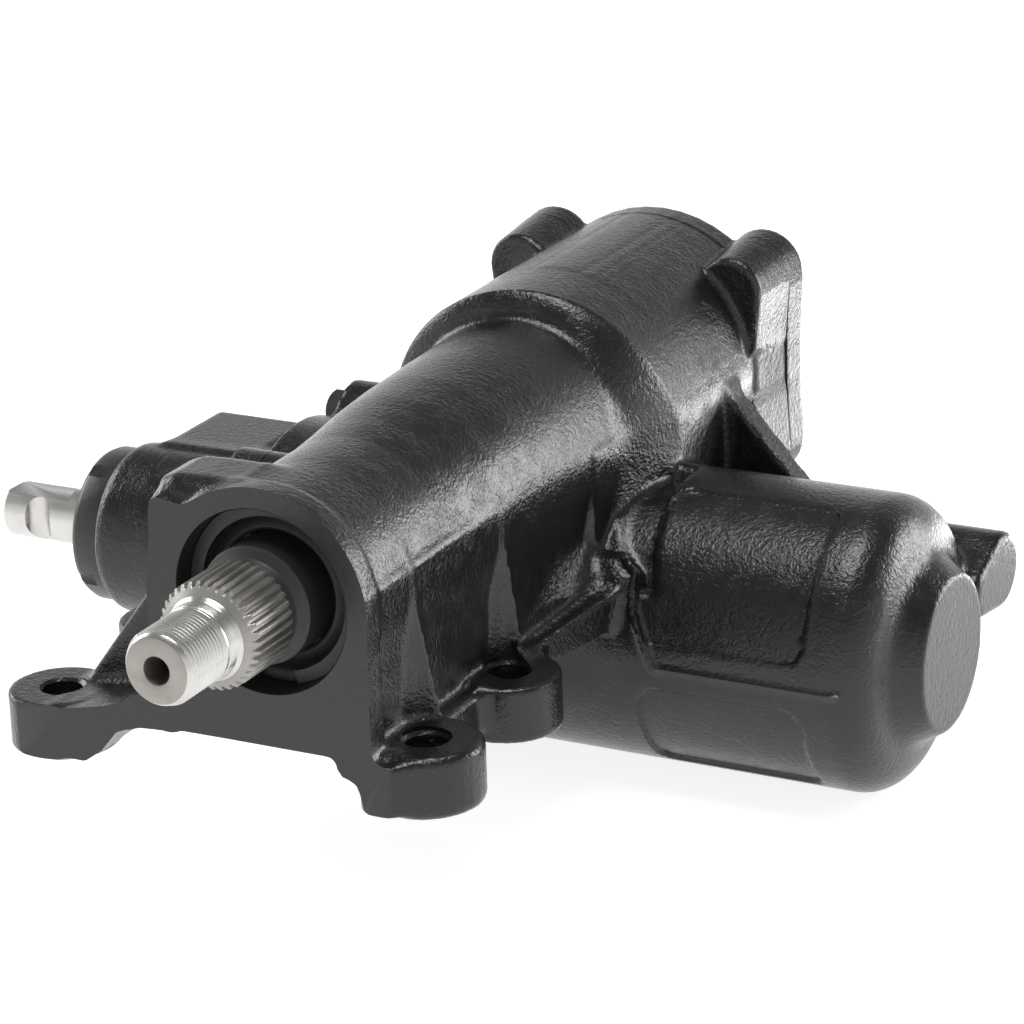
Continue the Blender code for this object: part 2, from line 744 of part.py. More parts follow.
def left_arm(foot, from_y):
    """Arm from the skirt out to a left foot, arched underneath."""
    root = -SKIRT_HALF + 2.0
    low = FOOT_TOP_Z - LEFT_ARM_UNDER
    out = foot[0] + FOOT_R + 2.5
    return prism("y", [(root, FOOT_TOP_Z + 9.5), (-SKIRT_HALF - 10.5, FOOT_TOP_Z + 7.0),
                       (out + 5.5, FOOT_TOP_Z + 3.0), (foot[0] + 6.0, FOOT_TOP_Z - 0.1),
                       (foot[0] + 6.0, FOOT_BOTTOM_Z + 1.5), (out - 2.5, FOOT_BOTTOM_Z + 1.5),
                       (out + 2.5, FOOT_BOTTOM_Z + 5.5), (out + 9.0, FOOT_BOTTOM_Z + 12.0),
                       (out + 16.0, low), (root, low)], from_y, from_y + LEFT_ARM_THICK)


def left_gusset(foot):
    """Sloping gusset from the skirt out to a left foot."""
    start = foot[1] + 7.5
    low = FOOT_TOP_Z - 0.4
    return prism("y", [(-SKIRT_HALF + 2.0, 10.0), (-SKIRT_HALF, 10.0),
                       (foot[0] + 4.0, low), (-SKIRT_HALF + 2.0, low)],
                 start, start + RIB_THICK - 0.5)


def build_housing(mat):
    s_axis = (0.0, 0.0)
    w_axis = (WORM_Y, WORM_Z)
    body = raw_object("housing", tube_and_drum())
    adds = [cylinder_form()]
    for place in ear_places():
        adds.append(rod("y", place, EAR_FROM_Y, JOINT_Y, EAR_R, FINE_SEG))
        adds.append(prism("y", ear_tail(place, EAR_R - 0.5), EAR_FROM_Y + TAIL_SETBACK, JOINT_Y))
    wide = EAR_X + EAR_R
    adds.append(box((-wide, JOINT_Y - FLANGE_THICK, -EAR_Z), (wide, JOINT_Y, EAR_Z)))
    # cheeks that tie the gear chamber to the cylinder
    cheek = DRUM_R - CHEEK_INSET
    adds.append(box((-cheek, CHAMBER_FROM_Y - 0.5, WORM_Z - 3.0),
                    (cheek, CHAMBER_FROM_Y + CHEEK_LENGTH, 1.0)))
    # skirt under the tube, down to the feet
    adds.append(box((-SKIRT_HALF, FRONT_Y, FOOT_TOP_Z), (SKIRT_HALF, SKIRT_END_Y, 3.0)))
    adds.append(front_plate())
    # gusset between the chamber and the cylinder on the closed end side
    inner = DRUM_R - 4.5
    outer = DRUM_R + GUSSET_REACH
    adds.append(prism("y", [(inner, GUSSET_TOP_Z), (DRUM_R, GUSSET_TOP_Z),
                            (outer, GUSSET_OUTER_Z), (outer, GUSSET_LOW_Z),
                            (inner, GUSSET_LOW_Z)],
                      GUSSET_FROM_Y, GUSSET_FROM_Y + GUSSET_THICK))
    # feet with their ribs and gussets
    for foot in (FOOT_A, FOOT_D):
        adds.append(rod("z", foot, FOOT_BOTTOM_Z, FOOT_TOP_Z, FOOT_R, FINE_SEG))
        adds.append(left_gusset(foot))
    adds.append(left_arm(FOOT_A, FRONT_Y))
    adds.append(left_arm(FOOT_D, FOOT_D[1] - LEFT_ARM_THICK / 2.0))
    for foot in (FOOT_B, FOOT_C):
        adds.append(prism("z", foot_outline(foot), FOOT_BOTTOM_Z, FOOT_TOP_Z))
    adds.append(rib(SKIRT_HALF, RIB_TOP_FRONT_Z, FOOT_B[1] + 12.5))
    adds.append(rib(SKIRT_HALF, RIB_TOP_REAR_Z, FOOT_C[1] + 11.0))
    # ledge from the rear foot back to the cylinder
    adds.append(box((LEDGE_X - 20.0, FOOT_C[1], FOOT_BOTTOM_Z + LEDGE_RISE),
                    (LEDGE_X, LEDGE_END_Y, FOOT_TOP_Z + 0.5)))
    # rear lug beside the closed end
    adds.append(prism("x", hull_outline([(LUG_Y, LUG_Z, LUG_R), (LUG_Y - 18.0, LUG_Z, LUG_R)]),
                      LUG_FROM_X, LUG_TO_X))
    # flange for the valve housing
    for place in flange_bolt_places():
        adds.append(prism("x", flange_lobe(place), CYL_FROM_X, CYL_FROM_X + PLATE_THICK + 1.0))
    combine(body, adds, "UNION")

    cuts = [rod("x", w_axis, CYL_FROM_X - OVERCUT, CYL_BORE_END_X, BORE_R),
            rod("y", s_axis, CHAMBER_FROM_Y, JOINT_Y + OVERCUT, CHAMBER_R)]
    front_to = FRONT_BEARING_Y + BEARING_LENGTH
    rear_to = REAR_BEARING_Y + BEARING_LENGTH
    wide_room = SHAFT_CLEARANCE_R + STEP_ROOM
    cuts.append(lathe("y", s_axis, [
        (FRONT_Y - OVERCUT, 0.0), (FRONT_Y - OVERCUT, SEAL_BORE_R),
        (SEAL_BORE_TO_Y, SEAL_BORE_R), (SEAL_BORE_TO_Y, wide_room),
        (FRONT_BEARING_Y, wide_room), (FRONT_BEARING_Y, BEARING_BORE_R),
        (front_to, BEARING_BORE_R), (front_to, SHAFT_CLEARANCE_R),
        (REAR_BEARING_Y, SHAFT_CLEARANCE_R), (REAR_BEARING_Y, BEARING_BORE_R),
        (rear_to, BEARING_BORE_R), (rear_to, wide_room),
        (CHAMBER_FROM_Y + 2.0, wide_room), (CHAMBER_FROM_Y + 2.0, 0.0)]))
    # hollow under the tube, open towards the frame rail
    cuts.append(box((-RECESS_HALF, RECESS_FROM_Y, FOOT_BOTTOM_Z - OVERCUT),
                    (RECESS_HALF, RECESS_TO_Y, FOOT_BOTTOM_Z + RECESS_DEPTH)))
    for centre, rad in ((FOOT_A, FOOT_HOLE_R), (FOOT_B, FOOT_THREAD_R),
                        (FOOT_C, FOOT_THREAD_R), (FOOT_D, FOOT_HOLE_R)):
        cuts.append(rod("z", centre, FOOT_BOTTOM_Z - OVERCUT, FOOT_TOP_Z + 2.4 * OVERCUT, rad,
                        FINE_SEG))
    for place in ear_places():
        cuts.append(rod("y", place, JOINT_Y - BOLT_REACH - 1.0, JOINT_Y + OVERCUT,
                        BOLT_R + GAP, HOLE_SEG))
    for place in flange_bolt_places():
        cuts.append(rod("x", place, CYL_FROM_X - OVERCUT, CYL_FROM_X + VALVE_HOLE_DEPTH,
                        VALVE_BOLT_R + BOLT_HOLE_ROOM, HOLE_SEG))
    combine(body, cuts, "DIFFERENCE")
    return finish(body, "main_housing", mat)


def build_cover(mat):
    axis = (0.0, 0.0)
    front = JOINT_Y + GAP
    back = front + COVER_THICK
    waist_r = COVER_SPIGOT_R - SPIGOT_WAIST
    groove_r = COVER_SPIGOT_R - ORING_GROOVE_DEPTH
    groove_to = front - ORING_LAND
    groove_from = groove_to - ORING_GROOVE
    land_from = groove_from - ORING_GROOVE_DEPTH + 0.3
    rim_r = DRUM_R - COVER_INSET
    body = raw_object("cover", lathe("y", axis, [
        (COVER_SPIGOT_FROM_Y, COVER_BUSH_R), (COVER_SPIGOT_FROM_Y, waist_r),
        (land_from, waist_r), (land_from, COVER_SPIGOT_R), (groove_from, COVER_SPIGOT_R),
        (groove_from, groove_r), (groove_to, groove_r), (groove_to, COVER_SPIGOT_R),
        (front, COVER_SPIGOT_R), (front, rim_r), (back - 1.5, rim_r), (back, rim_r - 1.5),
        (back, ADJUSTER_BOSS_R + 2.0), (ADJUSTER_BOSS_Y, ADJUSTER_BOSS_R),
        (ADJUSTER_BOSS_Y, ADJUSTER_R + GAP), (SHAFT_END_Y + 3.0, ADJUSTER_R + GAP),
        (SHAFT_END_Y + 3.0, COVER_BUSH_R)]))
    ear_r = EAR_R - COVER_EAR_INSET
    adds = [rod("y", place, front, back, ear_r, FINE_SEG) for place in ear_places()]
    wide = EAR_X + ear_r
    for side in (1, -1):
        inner = side * (EAR_X - 1.5)
        adds.append(prism("y", [(inner, -EAR_Z), (side * wide, -EAR_Z),
                                (side * wide, EAR_Z), (inner, EAR_Z)], front, back))
    combine(body, adds, "UNION")
    cuts = [rod("y", place, front - OVERCUT, back + OVERCUT, BOLT_R + BOLT_HOLE_ROOM, HOLE_SEG)
            for place in ear_places()]
    combine(body, cuts, "DIFFERENCE")
    return finish(body, "side_cover", mat)


def hex_bolt(axis, place, seat, tip, head_r, shank_r):
    """Flanged hex bolt whose head sits on seat and whose shank ends at tip."""
    sign = 1.0 if seat > tip else -1.0
    low = seat + sign * GAP
    body = raw_object("bolt", lathe(axis, place, [
        (tip, 0.0), (tip, shank_r - 0.8), (tip + sign * 0.8, shank_r),
        (low + sign * 0.6, shank_r), (low + sign * 0.6, 0.0)], SMALL_SEG))
    rim = head_r + BOLT_WASHER
    washer = lathe(axis, place, [(low, 0.0), (low, rim), (low + sign * 1.2, rim),
                                 (low + sign * 1.8, head_r - 0.6), (low + sign * 1.8, 0.0)], HOLE_SEG)
    ends = sorted((low + sign, low + sign * BOLT_HEAD_H))
    head = prism(axis, hexagon(place, head_r * cos(pi / 6.0)), *ends)
    return combine(body, [washer, head], "UNION")


def guide_span():
    """Where the two ends of the return guide meet the ball helix, below the worm."""
    start = CIRCUIT_X + LEAD * 0.75
    return start, start + LEAD * (BALL_TURNS - 0.5)


def clamp_screw_places():
    lo, hi = guide_span()
    return [((lo + hi) / 2.0, WORM_Y - SCREW_OFFSET), ((lo + hi) / 2.0, WORM_Y + SCREW_OFFSET)]


def build_piston(mat):
    axis = (WORM_Y, WORM_Z)
    groove = RING_WIDTH / 2.0 + 0.2
    floor_r = PISTON_R - RING_DEPTH
    edge_r = PISTON_R - PISTON_CHAMFER
    body = raw_object("piston", lathe("x", axis, [
        (PISTON_FROM_X, 0.0), (PISTON_FROM_X, edge_r), (PISTON_FROM_X + PISTON_CHAMFER, PISTON_R),
        (RING_X - groove, PISTON_R), (RING_X - groove, floor_r), (RING_X + groove, floor_r),
        (RING_X + groove, PISTON_R), (PISTON_TO_X - PISTON_CHAMFER, PISTON_R),
        (PISTON_TO_X, edge_r), (PISTON_TO_X, 0.0)]))
    tip_z = -PITCH_R + RACK_ADDENDUM
    root_z = -PITCH_R - RACK_DEDENDUM
    wide = PISTON_R + OVERCUT
    cuts = [box((PISTON_FROM_X - OVERCUT, WORM_Y - wide, tip_z),
                (PISTON_FROM_X + RACK_LENGTH, WORM_Y + wide, PITCH_R))]
    pitch = 2.0 * pi * PITCH_R / TEETH_ROUND
    slope = tan(PRESSURE_ANGLE)
    for k in (-1, 0, 1):
        mid = k * pitch
        half_root = pitch / 4.0 - RACK_DEDENDUM * slope + 0.05
        half_top = pitch / 4.0 + (RACK_ADDENDUM + 2.0) * slope + 0.05
        cuts.append(prism("y", [(mid - half_root, root_z), (mid + half_root, root_z),
                                (mid + half_top, tip_z + 2.0), (mid - half_top, tip_z + 2.0)],
                          WORM_Y - wide, WORM_Y + wide))

    def nut_radius(x, ang):
        return max(NUT_LAND_R, BALL_CIRCLE_R + groove_depth(x, ang))

    nut_from = CIRCUIT_X - GROOVE_R - 1.0
    nut_to = CIRCUIT_X + LEAD * BALL_TURNS + GROOVE_R + 1.0
    cuts.append(screw_rod(nut_from, nut_to, LEAD / 8.0, FINE_SEG, nut_radius))
    cuts.append(rod("x", axis, PISTON_FROM_X - OVERCUT, nut_from + 1.0, PISTON_HOLLOW_R))
    cuts.append(rod("x", axis, nut_to - 1.0, PISTON_HOLLOW_TO_X, PISTON_HOLLOW_R))
    # pocket in the underside for the ball return guide
    guide_lo, guide_hi = guide_span()
    cuts.append(box((guide_lo - GUIDE_POCKET_END, WORM_Y - GUIDE_POCKET_HALF,
                     WORM_Z - PISTON_R - OVERCUT),
                    (guide_hi + GUIDE_POCKET_END, WORM_Y + GUIDE_POCKET_HALF,
                     WORM_Z - GUIDE_POCKET)))
    for x in (guide_lo, guide_hi):
        cuts.append(rod("z", (x, WORM_Y), WORM_Z - GUIDE_POCKET - OVERCUT,
                        WORM_Z - BALL_CIRCLE_R + 2.0, GUIDE_LEG + 1.175, FINE_SEG))
    for place in clamp_screw_places():
        cuts.append(rod("z", place, WORM_Z - GUIDE_POCKET - OVERCUT,
                        WORM_Z - GUIDE_POCKET + SCREW_DEPTH, SCREW_R + GAP, HOLE_SEG))
    combine(body, cuts, "DIFFERENCE")
    return finish(body, "rack_piston", mat, (0.0, WORM_Y, WORM_Z))


def build_worm(mat):
    def worm_radius(x, ang):
        return min(WORM_LAND_R, BALL_CIRCLE_R - groove_depth(x, ang))

    body = raw_object("worm", screw_rod(WORM_THREAD_FROM_X, WORM_THREAD_TO_X, LEAD / 8.0, HOLE_SEG,
                                        worm_radius))
    axis = (WORM_Y, WORM_Z)
    bore_end = CYL_FROM_X + WORM_BORE_DEPTH + 1.0
    root_r = WORM_LAND_R - 5.0
    neck_to = CYL_FROM_X + 5.0
    overlap_x = WORM_THREAD_FROM_X + 1.0
    spine = lathe("x", axis, [
        (SPIGOT_LEFT_X, TORSION_BORE_R), (SPIGOT_LEFT_X, WORM_SPIGOT_R),
        (COLLAR_LEFT_X, WORM_SPIGOT_R), (COLLAR_LEFT_X, DRIVE_COLLAR_R),
        (COLLAR_RIGHT_X, DRIVE_COLLAR_R), (COLLAR_RIGHT_X, WORM_NECK_R),
        (RACE_LEFT_X, WORM_NECK_R), (RACE_LEFT_X, RACE_COLLAR_R),
        (RACE_RIGHT_X, RACE_COLLAR_R), (RACE_RIGHT_X, WORM_NECK_R),
        (neck_to, WORM_NECK_R), (neck_to + 4.0, THREAD_RUNOUT_R),
        (overlap_x, THREAD_RUNOUT_R), (overlap_x, root_r), (bore_end, root_r),
        (bore_end, TORSION_BORE_R)])
    combine(body, [spine], "UNION")
    bore = rod("x", axis, SPIGOT_LEFT_X - 1.0, bore_end, TORSION_BORE_R, HOLE_SEG)
    combine(body, [bore], "DIFFERENCE")
    return finish(body, "worm_shaft", mat, (0.0, WORM_Y, WORM_Z))


def build_input_shaft(mat):
    axis = (WORM_Y, WORM_Z)
    spool_from = SLEEVE_FROM_X - SPOOL_OVERHANG
    spool_to = SPIGOT_LEFT_X - SPOOL_END_ROOM
    body = raw_object("input", lathe("x", axis, [
        (INPUT_END_X, TORSION_BORE_R), (INPUT_END_X, INPUT_R - INPUT_CHAMFER),
        (INPUT_END_X + INPUT_CHAMFER, INPUT_R), (spool_from - SPOOL_TAPER, INPUT_R),
        (spool_from, SPOOL_R), (spool_to, SPOOL_R), (spool_to, TORSION_BORE_R)], FINE_SEG))
    bar_end = rod("x", axis, INPUT_END_X, INPUT_END_X + TORSION_PLUG, TORSION_BORE_R + 0.4,
                  HOLE_SEG)
    combine(body, [bar_end], "UNION")
    wide = INPUT_R + OVERCUT
    cuts = [box((INPUT_END_X - OVERCUT, WORM_Y - wide, WORM_Z + INPUT_FLAT),
                (INPUT_END_X + INPUT_FLAT_LENGTH, WORM_Y + wide, WORM_Z + wide)),
            rod("z", (INPUT_END_X + NOTCH_FROM_END, WORM_Y - INPUT_R - NOTCH_OFFSET),
                WORM_Z - wide, WORM_Z + wide, NOTCH_R, FINE_SEG)]
    for k in range(4):
        ang = radians(90.0 * k + 45.0)
        place = (axis[0] + SPOOL_R * cos(ang), axis[1] + SPOOL_R * sin(ang))
        cuts.append(rod("x", place, spool_from + 4.5, spool_to - 4.0, SPOOL_FLUTE_R, SMALL_SEG))
    combine(body, cuts, "DIFFERENCE")
    return finish(body, "input_shaft", mat, (0.0, WORM_Y, WORM_Z))


def build_valve_housing(mat):
    axis = (WORM_Y, WORM_Z)
    flange_r = CYL_R - VALVE_FLANGE_INSET
    neck_r = VALVE_R + VALVE_NECK
    body = raw_object("valve", lathe("x", axis, [
        (VALVE_FACE_X, 0.0), (VALVE_FACE_X, flange_r), (VALVE_FLANGE_X, flange_r),
        (VALVE_FLANGE_X - 5.0, neck_r + 3.0), (VALVE_FLANGE_X - VALVE_NECK_LENGTH, neck_r),
        (VALVE_FLANGE_X - VALVE_TAPER_LENGTH, VALVE_R), (VALVE_END_X + VALVE_CHAMFER, VALVE_R),
        (VALVE_END_X, VALVE_R - VALVE_CHAMFER), (VALVE_END_X, 0.0)]))
    adds = [prism("x", flange_lobe(place), VALVE_FLANGE_X, VALVE_FACE_X)
            for place in flange_bolt_places()]
    adds.append(box((min(PORT_X) - PORT_PAD_END - 1.0, WORM_Y + PORT_R, PORT_Z - PORT_PAD_LOW),
                    (max(PORT_X) + PORT_PAD_END - 1.0, PORT_PAD_Y, PORT_Z + PORT_PAD_HIGH)))
    combine(body, adds, "UNION")
    cuts = [rod("x", axis, POCKET_TO_X, VALVE_FACE_X + OVERCUT, POCKET_R),
            rod("x", axis, PLUG_FROM_X, POCKET_TO_X + 1.0, VALVE_BORE_R),
            rod("x", axis, VALVE_END_X - OVERCUT, PLUG_FROM_X, PLUG_THREAD_R)]
    port_floor = PORT_PAD_Y - PORT_DEPTH
    for x in PORT_X:
        cuts.append(rod("y", (x, PORT_Z), port_floor, PORT_PAD_Y + OVERCUT, PORT_R, FINE_SEG))
        cuts.append(rod("y", (x, PORT_Z), WORM_Y + 12.0, port_floor + 2.0, PORT_PASSAGE_R,
                        HOLE_SEG))
    for place in flange_bolt_places():
        cuts.append(rod("x", place, VALVE_FLANGE_X - OVERCUT, VALVE_FACE_X + OVERCUT,
                        VALVE_BOLT_R + 0.7, HOLE_SEG))
        cuts.append(rod("x", place, VALVE_FLANGE_X - 12.0, VALVE_FLANGE_X,
                        VALVE_BOLT_HEAD_R + BOLT_WASHER + 1.5, FINE_SEG))
    combine(body, cuts, "DIFFERENCE")
    return finish(body, "valve_housing", mat)


def build_shaft_seals(mats):
    """Seals, washer, snap ring and bearings on the sector shaft."""
    axis = (0.0, 0.0)
    outer = SEAL_BORE_R - GAP
    ring_y = FRONT_Y + SNAP_RING_FROM_FRONT
    dust_y = ring_y + SNAP_RING_THICK + STACK_GAP
    washer_y = dust_y + DUST_SEAL_LENGTH + STACK_GAP
    seal_y = washer_y + WASHER_THICK + STACK_GAP
    seal_end = SEAL_BORE_TO_Y - GAP
    piece("sector_snap_ring", tube("y", axis, ring_y, ring_y + SNAP_RING_THICK,
                                   SNAP_RING_INNER_R, outer), mats["spring"])
    piece("sector_dust_seal", lathe("y", axis, [
        (dust_y, JOURNAL_R + PLAY), (dust_y + 1.4, outer), (dust_y + DUST_SEAL_LENGTH, outer),
        (dust_y + DUST_SEAL_LENGTH, JOURNAL_R + PLAY)]), mats["rubber"])
    piece("sector_backup_washer", tube("y", axis, washer_y, washer_y + WASHER_THICK,
                                       JOURNAL_R + GAP, outer), mats["steel"])
    piece("sector_oil_seal", lathe("y", axis, [
        (seal_y, JOURNAL_R + 2.0), (seal_y, outer), (seal_end, outer),
        (seal_end, JOURNAL_R + PLAY)]), mats["rubber"])
    for name, start in (("sector_bearing_front", FRONT_BEARING_Y),
                        ("sector_bearing_rear", REAR_BEARING_Y)):
        piece(name, tube("y", axis, start + GAP, start + BEARING_LENGTH - GAP,
                         JOURNAL_R + PLAY, BEARING_BORE_R - PLAY), mats["bearing"])
    piece("cover_bushing", tube("y", axis, COVER_SPIGOT_FROM_Y + 1.0, SHAFT_END_Y + 1.0,
                                JOURNAL_R + PLAY, COVER_BUSH_R - PLAY), mats["bronze"])
    groove_to = JOINT_Y + GAP - ORING_LAND
    piece("cover_oring", tube("y", axis, groove_to - ORING_GROOVE + GAP, groove_to - GAP,
                              COVER_SPIGOT_R - ORING_GROOVE_DEPTH + 0.2, COVER_SPIGOT_R + 0.2),
          mats["rubber"])


def build_adjuster(mats):
    """Lash adjuster between the sector shaft and the cover."""
    axis = (0.0, 0.0)
    head_y = SLOT_FROM_Y + 0.5
    head_to = head_y + ADJUSTER_HEAD_THICK
    piece("adjuster_screw", lathe("y", axis, [
        (head_y, 0.0), (head_y, ADJUSTER_HEAD_R), (head_to, ADJUSTER_HEAD_R),
        (head_to, ADJUSTER_R), (ADJUSTER_END_Y - 1.0, ADJUSTER_R),
        (ADJUSTER_END_Y, ADJUSTER_R - 1.0), (ADJUSTER_END_Y, 0.0)], FINE_SEG), mats["steel"])
    piece("adjuster_retainer", tube("y", axis, head_to + GAP, head_to + GAP + RETAINER_THICK,
                                    ADJUSTER_R + GAP, SLOT_R - GAP, FINE_SEG), mats["steel"])
    low = ADJUSTER_BOSS_Y + GAP
    nut = raw_object("nut", prism("y", hexagon(axis, LOCK_NUT_HALF), low, low + LOCK_NUT_THICK))
    hole = rod("y", axis, low - OVERCUT, low + LOCK_NUT_THICK + OVERCUT, ADJUSTER_R + 0.2, FINE_SEG)
    combine(nut, [hole], "DIFFERENCE")
    finish(nut, "adjuster_lock_nut", mats["steel"])


def build_bolts(mats):
    for tag, place in zip("abcd", ear_places()):
        bolt = hex_bolt("y", place, JOINT_Y + GAP + COVER_THICK, JOINT_Y - BOLT_REACH,
                        BOLT_HEAD_R, BOLT_R)
        finish(bolt, "cover_bolt_" + tag, mats["bolt"])
    for tag, place in zip("abcd", flange_bolt_places()):
        bolt = hex_bolt("x", place, VALVE_FLANGE_X, CYL_FROM_X + VALVE_BOLT_REACH,
                        VALVE_BOLT_HEAD_R, VALVE_BOLT_R)
        finish(bolt, "valve_bolt_" + tag, mats["bolt"])


def build_balls(mats):
    for n in range(BALL_COUNT):
        turn = 0.25 + (BALL_TURNS - 0.5) * n / (BALL_COUNT - 1.0)
        ang = 2.0 * pi * turn
        centre = (CIRCUIT_X + LEAD * turn, WORM_Y + BALL_CIRCLE_R * cos(ang),
                  WORM_Z + BALL_CIRCLE_R * sin(ang))
        bm = bmesh.new()
        bmesh.ops.create_uvsphere(bm, u_segments=8, v_segments=6, radius=BALL_R)
        for vert in bm.verts:
            vert.co = [vert.co[k] + centre[k] for k in range(3)]
        piece("ball_%02d" % (n + 1), bm, mats["ball"], (0.0, WORM_Y, WORM_Z))


def build_return_guide(mats):
    """Two-part guide that leads the balls back, with its clamp and screws."""
    origin = (0.0, WORM_Y, WORM_Z)
    lo, hi = guide_span()
    low_z = WORM_Z - GUIDE_OUTER
    top_z = WORM_Z - GUIDE_TOP
    mid_z = WORM_Z - GUIDE_INNER
    leg = GUIDE_LEG
    outer = [(lo - leg, top_z), (lo - leg, low_z + 2.0), (lo - leg + 2.0, low_z),
             (hi + leg - 2.0, low_z), (hi + leg, low_z + 2.0), (hi + leg, top_z),
             (hi - leg, top_z), (hi - leg, mid_z), (lo + leg, mid_z), (lo + leg, top_z)]
    for tag, side in (("a", -1.0), ("b", 1.0)):
        ends = sorted((WORM_Y + side * GAP / 2.0, WORM_Y + side * (GAP / 2.0 + GUIDE_WALL)))
        guide = raw_object("guide", prism("y", outer, *ends))
        finish(guide, "return_guide_" + tag, mats["zinc"], origin)
    clamp_z = low_z - CLAMP_THICK
    seat_z = WORM_Z - GUIDE_POCKET - GAP
    half = GUIDE_POCKET_HALF - CLAMP_EDGE
    left, right = lo + CLAMP_INSET, hi - CLAMP_INSET
    clamp = raw_object("clamp", box((left, WORM_Y - half, clamp_z),
                                    (right, WORM_Y + half, low_z - GAP)))
    inner = GUIDE_WALL + 0.95
    legs = [box((left + 1.0, WORM_Y - half + 0.1, clamp_z + 0.5), (right - 1.0, WORM_Y - inner, seat_z)),
            box((left + 1.0, WORM_Y + inner, clamp_z + 0.5), (right - 1.0, WORM_Y + half - 0.1, seat_z))]
    combine(clamp, legs, "UNION")
    holes = [rod("z", place, clamp_z - OVERCUT, WORM_Z, SCREW_R + GAP, HOLE_SEG)
             for place in clamp_screw_places()]
    combine(clamp, holes, "DIFFERENCE")
    finish(clamp, "guide_clamp", mats["zinc"], origin)
    tip_z = WORM_Z - GUIDE_POCKET + SCREW_DEPTH - 0.5
    seat = clamp_z - GAP
    for tag, place in zip("ab", clamp_screw_places()):
        piece("clamp_screw_" + tag, lathe("z", place, [
            (tip_z, 0.0), (tip_z, SCREW_R), (seat, SCREW_R), (seat, SCREW_R + SCREW_HEAD),
            (seat - SCREW_HEAD_THICK, SCREW_R + SCREW_HEAD - 0.2),
            (seat - SCREW_HEAD_THICK, 0.0)], HOLE_SEG), mats["bolt"], origin)


def build_worm_bearings(mats):
    axis = (WORM_Y, WORM_Z)
    inner = WORM_NECK_R + GAP
    outer = POCKET_R - PLAY
    piece("worm_bearing_inner", tube("x", axis, RACE_RIGHT_X + GAP,
                                     RACE_RIGHT_X + GAP + BALL_BEARING_THICK, inner, outer),
          mats["bearing"])
    piece("worm_bearing_outer", tube("x", axis, RACE_LEFT_X - GAP - BALL_BEARING_THICK,
                                     RACE_LEFT_X - GAP, inner, outer), mats["bearing"])
    piece("bearing_retainer", tube("x", axis, RETAINER_X, VALVE_FACE_X - 0.2, RETAINER_IN_R,
                                   outer), mats["steel"])
    piece("piston_ring", tube("x", axis, RING_X - RING_WIDTH / 2.0, RING_X + RING_WIDTH / 2.0,
                              PISTON_R - RING_DEPTH + 0.2, BORE_R - 0.1), mats["ptfe"],
          (0.0, *axis))


def build_valve_sleeve(mats):
    """Sleeve driven by the worm, with its seal rings, and the torsion bar inside it."""
    axis = (WORM_Y, WORM_Z)
    origin = (0.0, *axis)
    inner = SPOOL_R + PLAY
    floor_r = SLEEVE_R - SLEEVE_GROOVE_DEPTH
    loop = [(SLEEVE_FROM_X, inner), (SLEEVE_FROM_X, SLEEVE_R)]
    for along in SLEEVE_GROOVES:
        start = SLEEVE_FROM_X + along
        stop = start + SLEEVE_GROOVE_WIDTH
        loop += [(start, SLEEVE_R), (start, floor_r), (stop, floor_r), (stop, SLEEVE_R)]
    step_x = COLLAR_LEFT_X - GAP
    loop += [(SLEEVE_TO_X, SLEEVE_R), (SLEEVE_TO_X, DRIVE_COLLAR_R + GAP),
             (step_x, DRIVE_COLLAR_R + GAP), (step_x, inner)]
    sleeve = raw_object("sleeve", lathe("x", axis, loop))
    holes = []
    for n, along in enumerate(SLEEVE_PORTS):
        x = SLEEVE_FROM_X + along
        cross, place, mid = (("y", (x, WORM_Z), WORM_Y), ("z", (x, WORM_Y), WORM_Z))[n % 2]
        holes.append(rod(cross, place, mid - SLEEVE_R - OVERCUT, mid + SLEEVE_R + OVERCUT,
                         SLEEVE_PORT_R, SMALL_SEG))
    combine(sleeve, holes, "DIFFERENCE")
    finish(sleeve, "valve_sleeve", mats["steel"], origin)
    for tag, along in zip("abc", SLEEVE_GROOVES):
        x = SLEEVE_FROM_X + along + 0.2
        piece("valve_ring_" + tag, tube("x", axis, x, x + VALVE_RING_WIDTH, floor_r + 0.2,
                                        VALVE_BORE_R - GAP), mats["ptfe"], origin)
    bar_from = INPUT_END_X + TORSION_PLUG + 0.6
    bar_to = CYL_FROM_X + WORM_BORE_DEPTH - 1.5
    head_to = INPUT_END_X + TORSION_HEAD - 2.5
    foot_from = bar_to - TORSION_FOOT
    piece("torsion_bar", lathe("x", axis, [
        (bar_from, 0.0), (bar_from, TORSION_R), (head_to, TORSION_R),
        (head_to + TORSION_TAPER, TORSION_WAIST_R), (foot_from - TORSION_TAPER, TORSION_WAIST_R),
        (foot_from, TORSION_R), (bar_to, TORSION_R), (bar_to, 0.0)], HOLE_SEG),
        mats["spring"], origin)


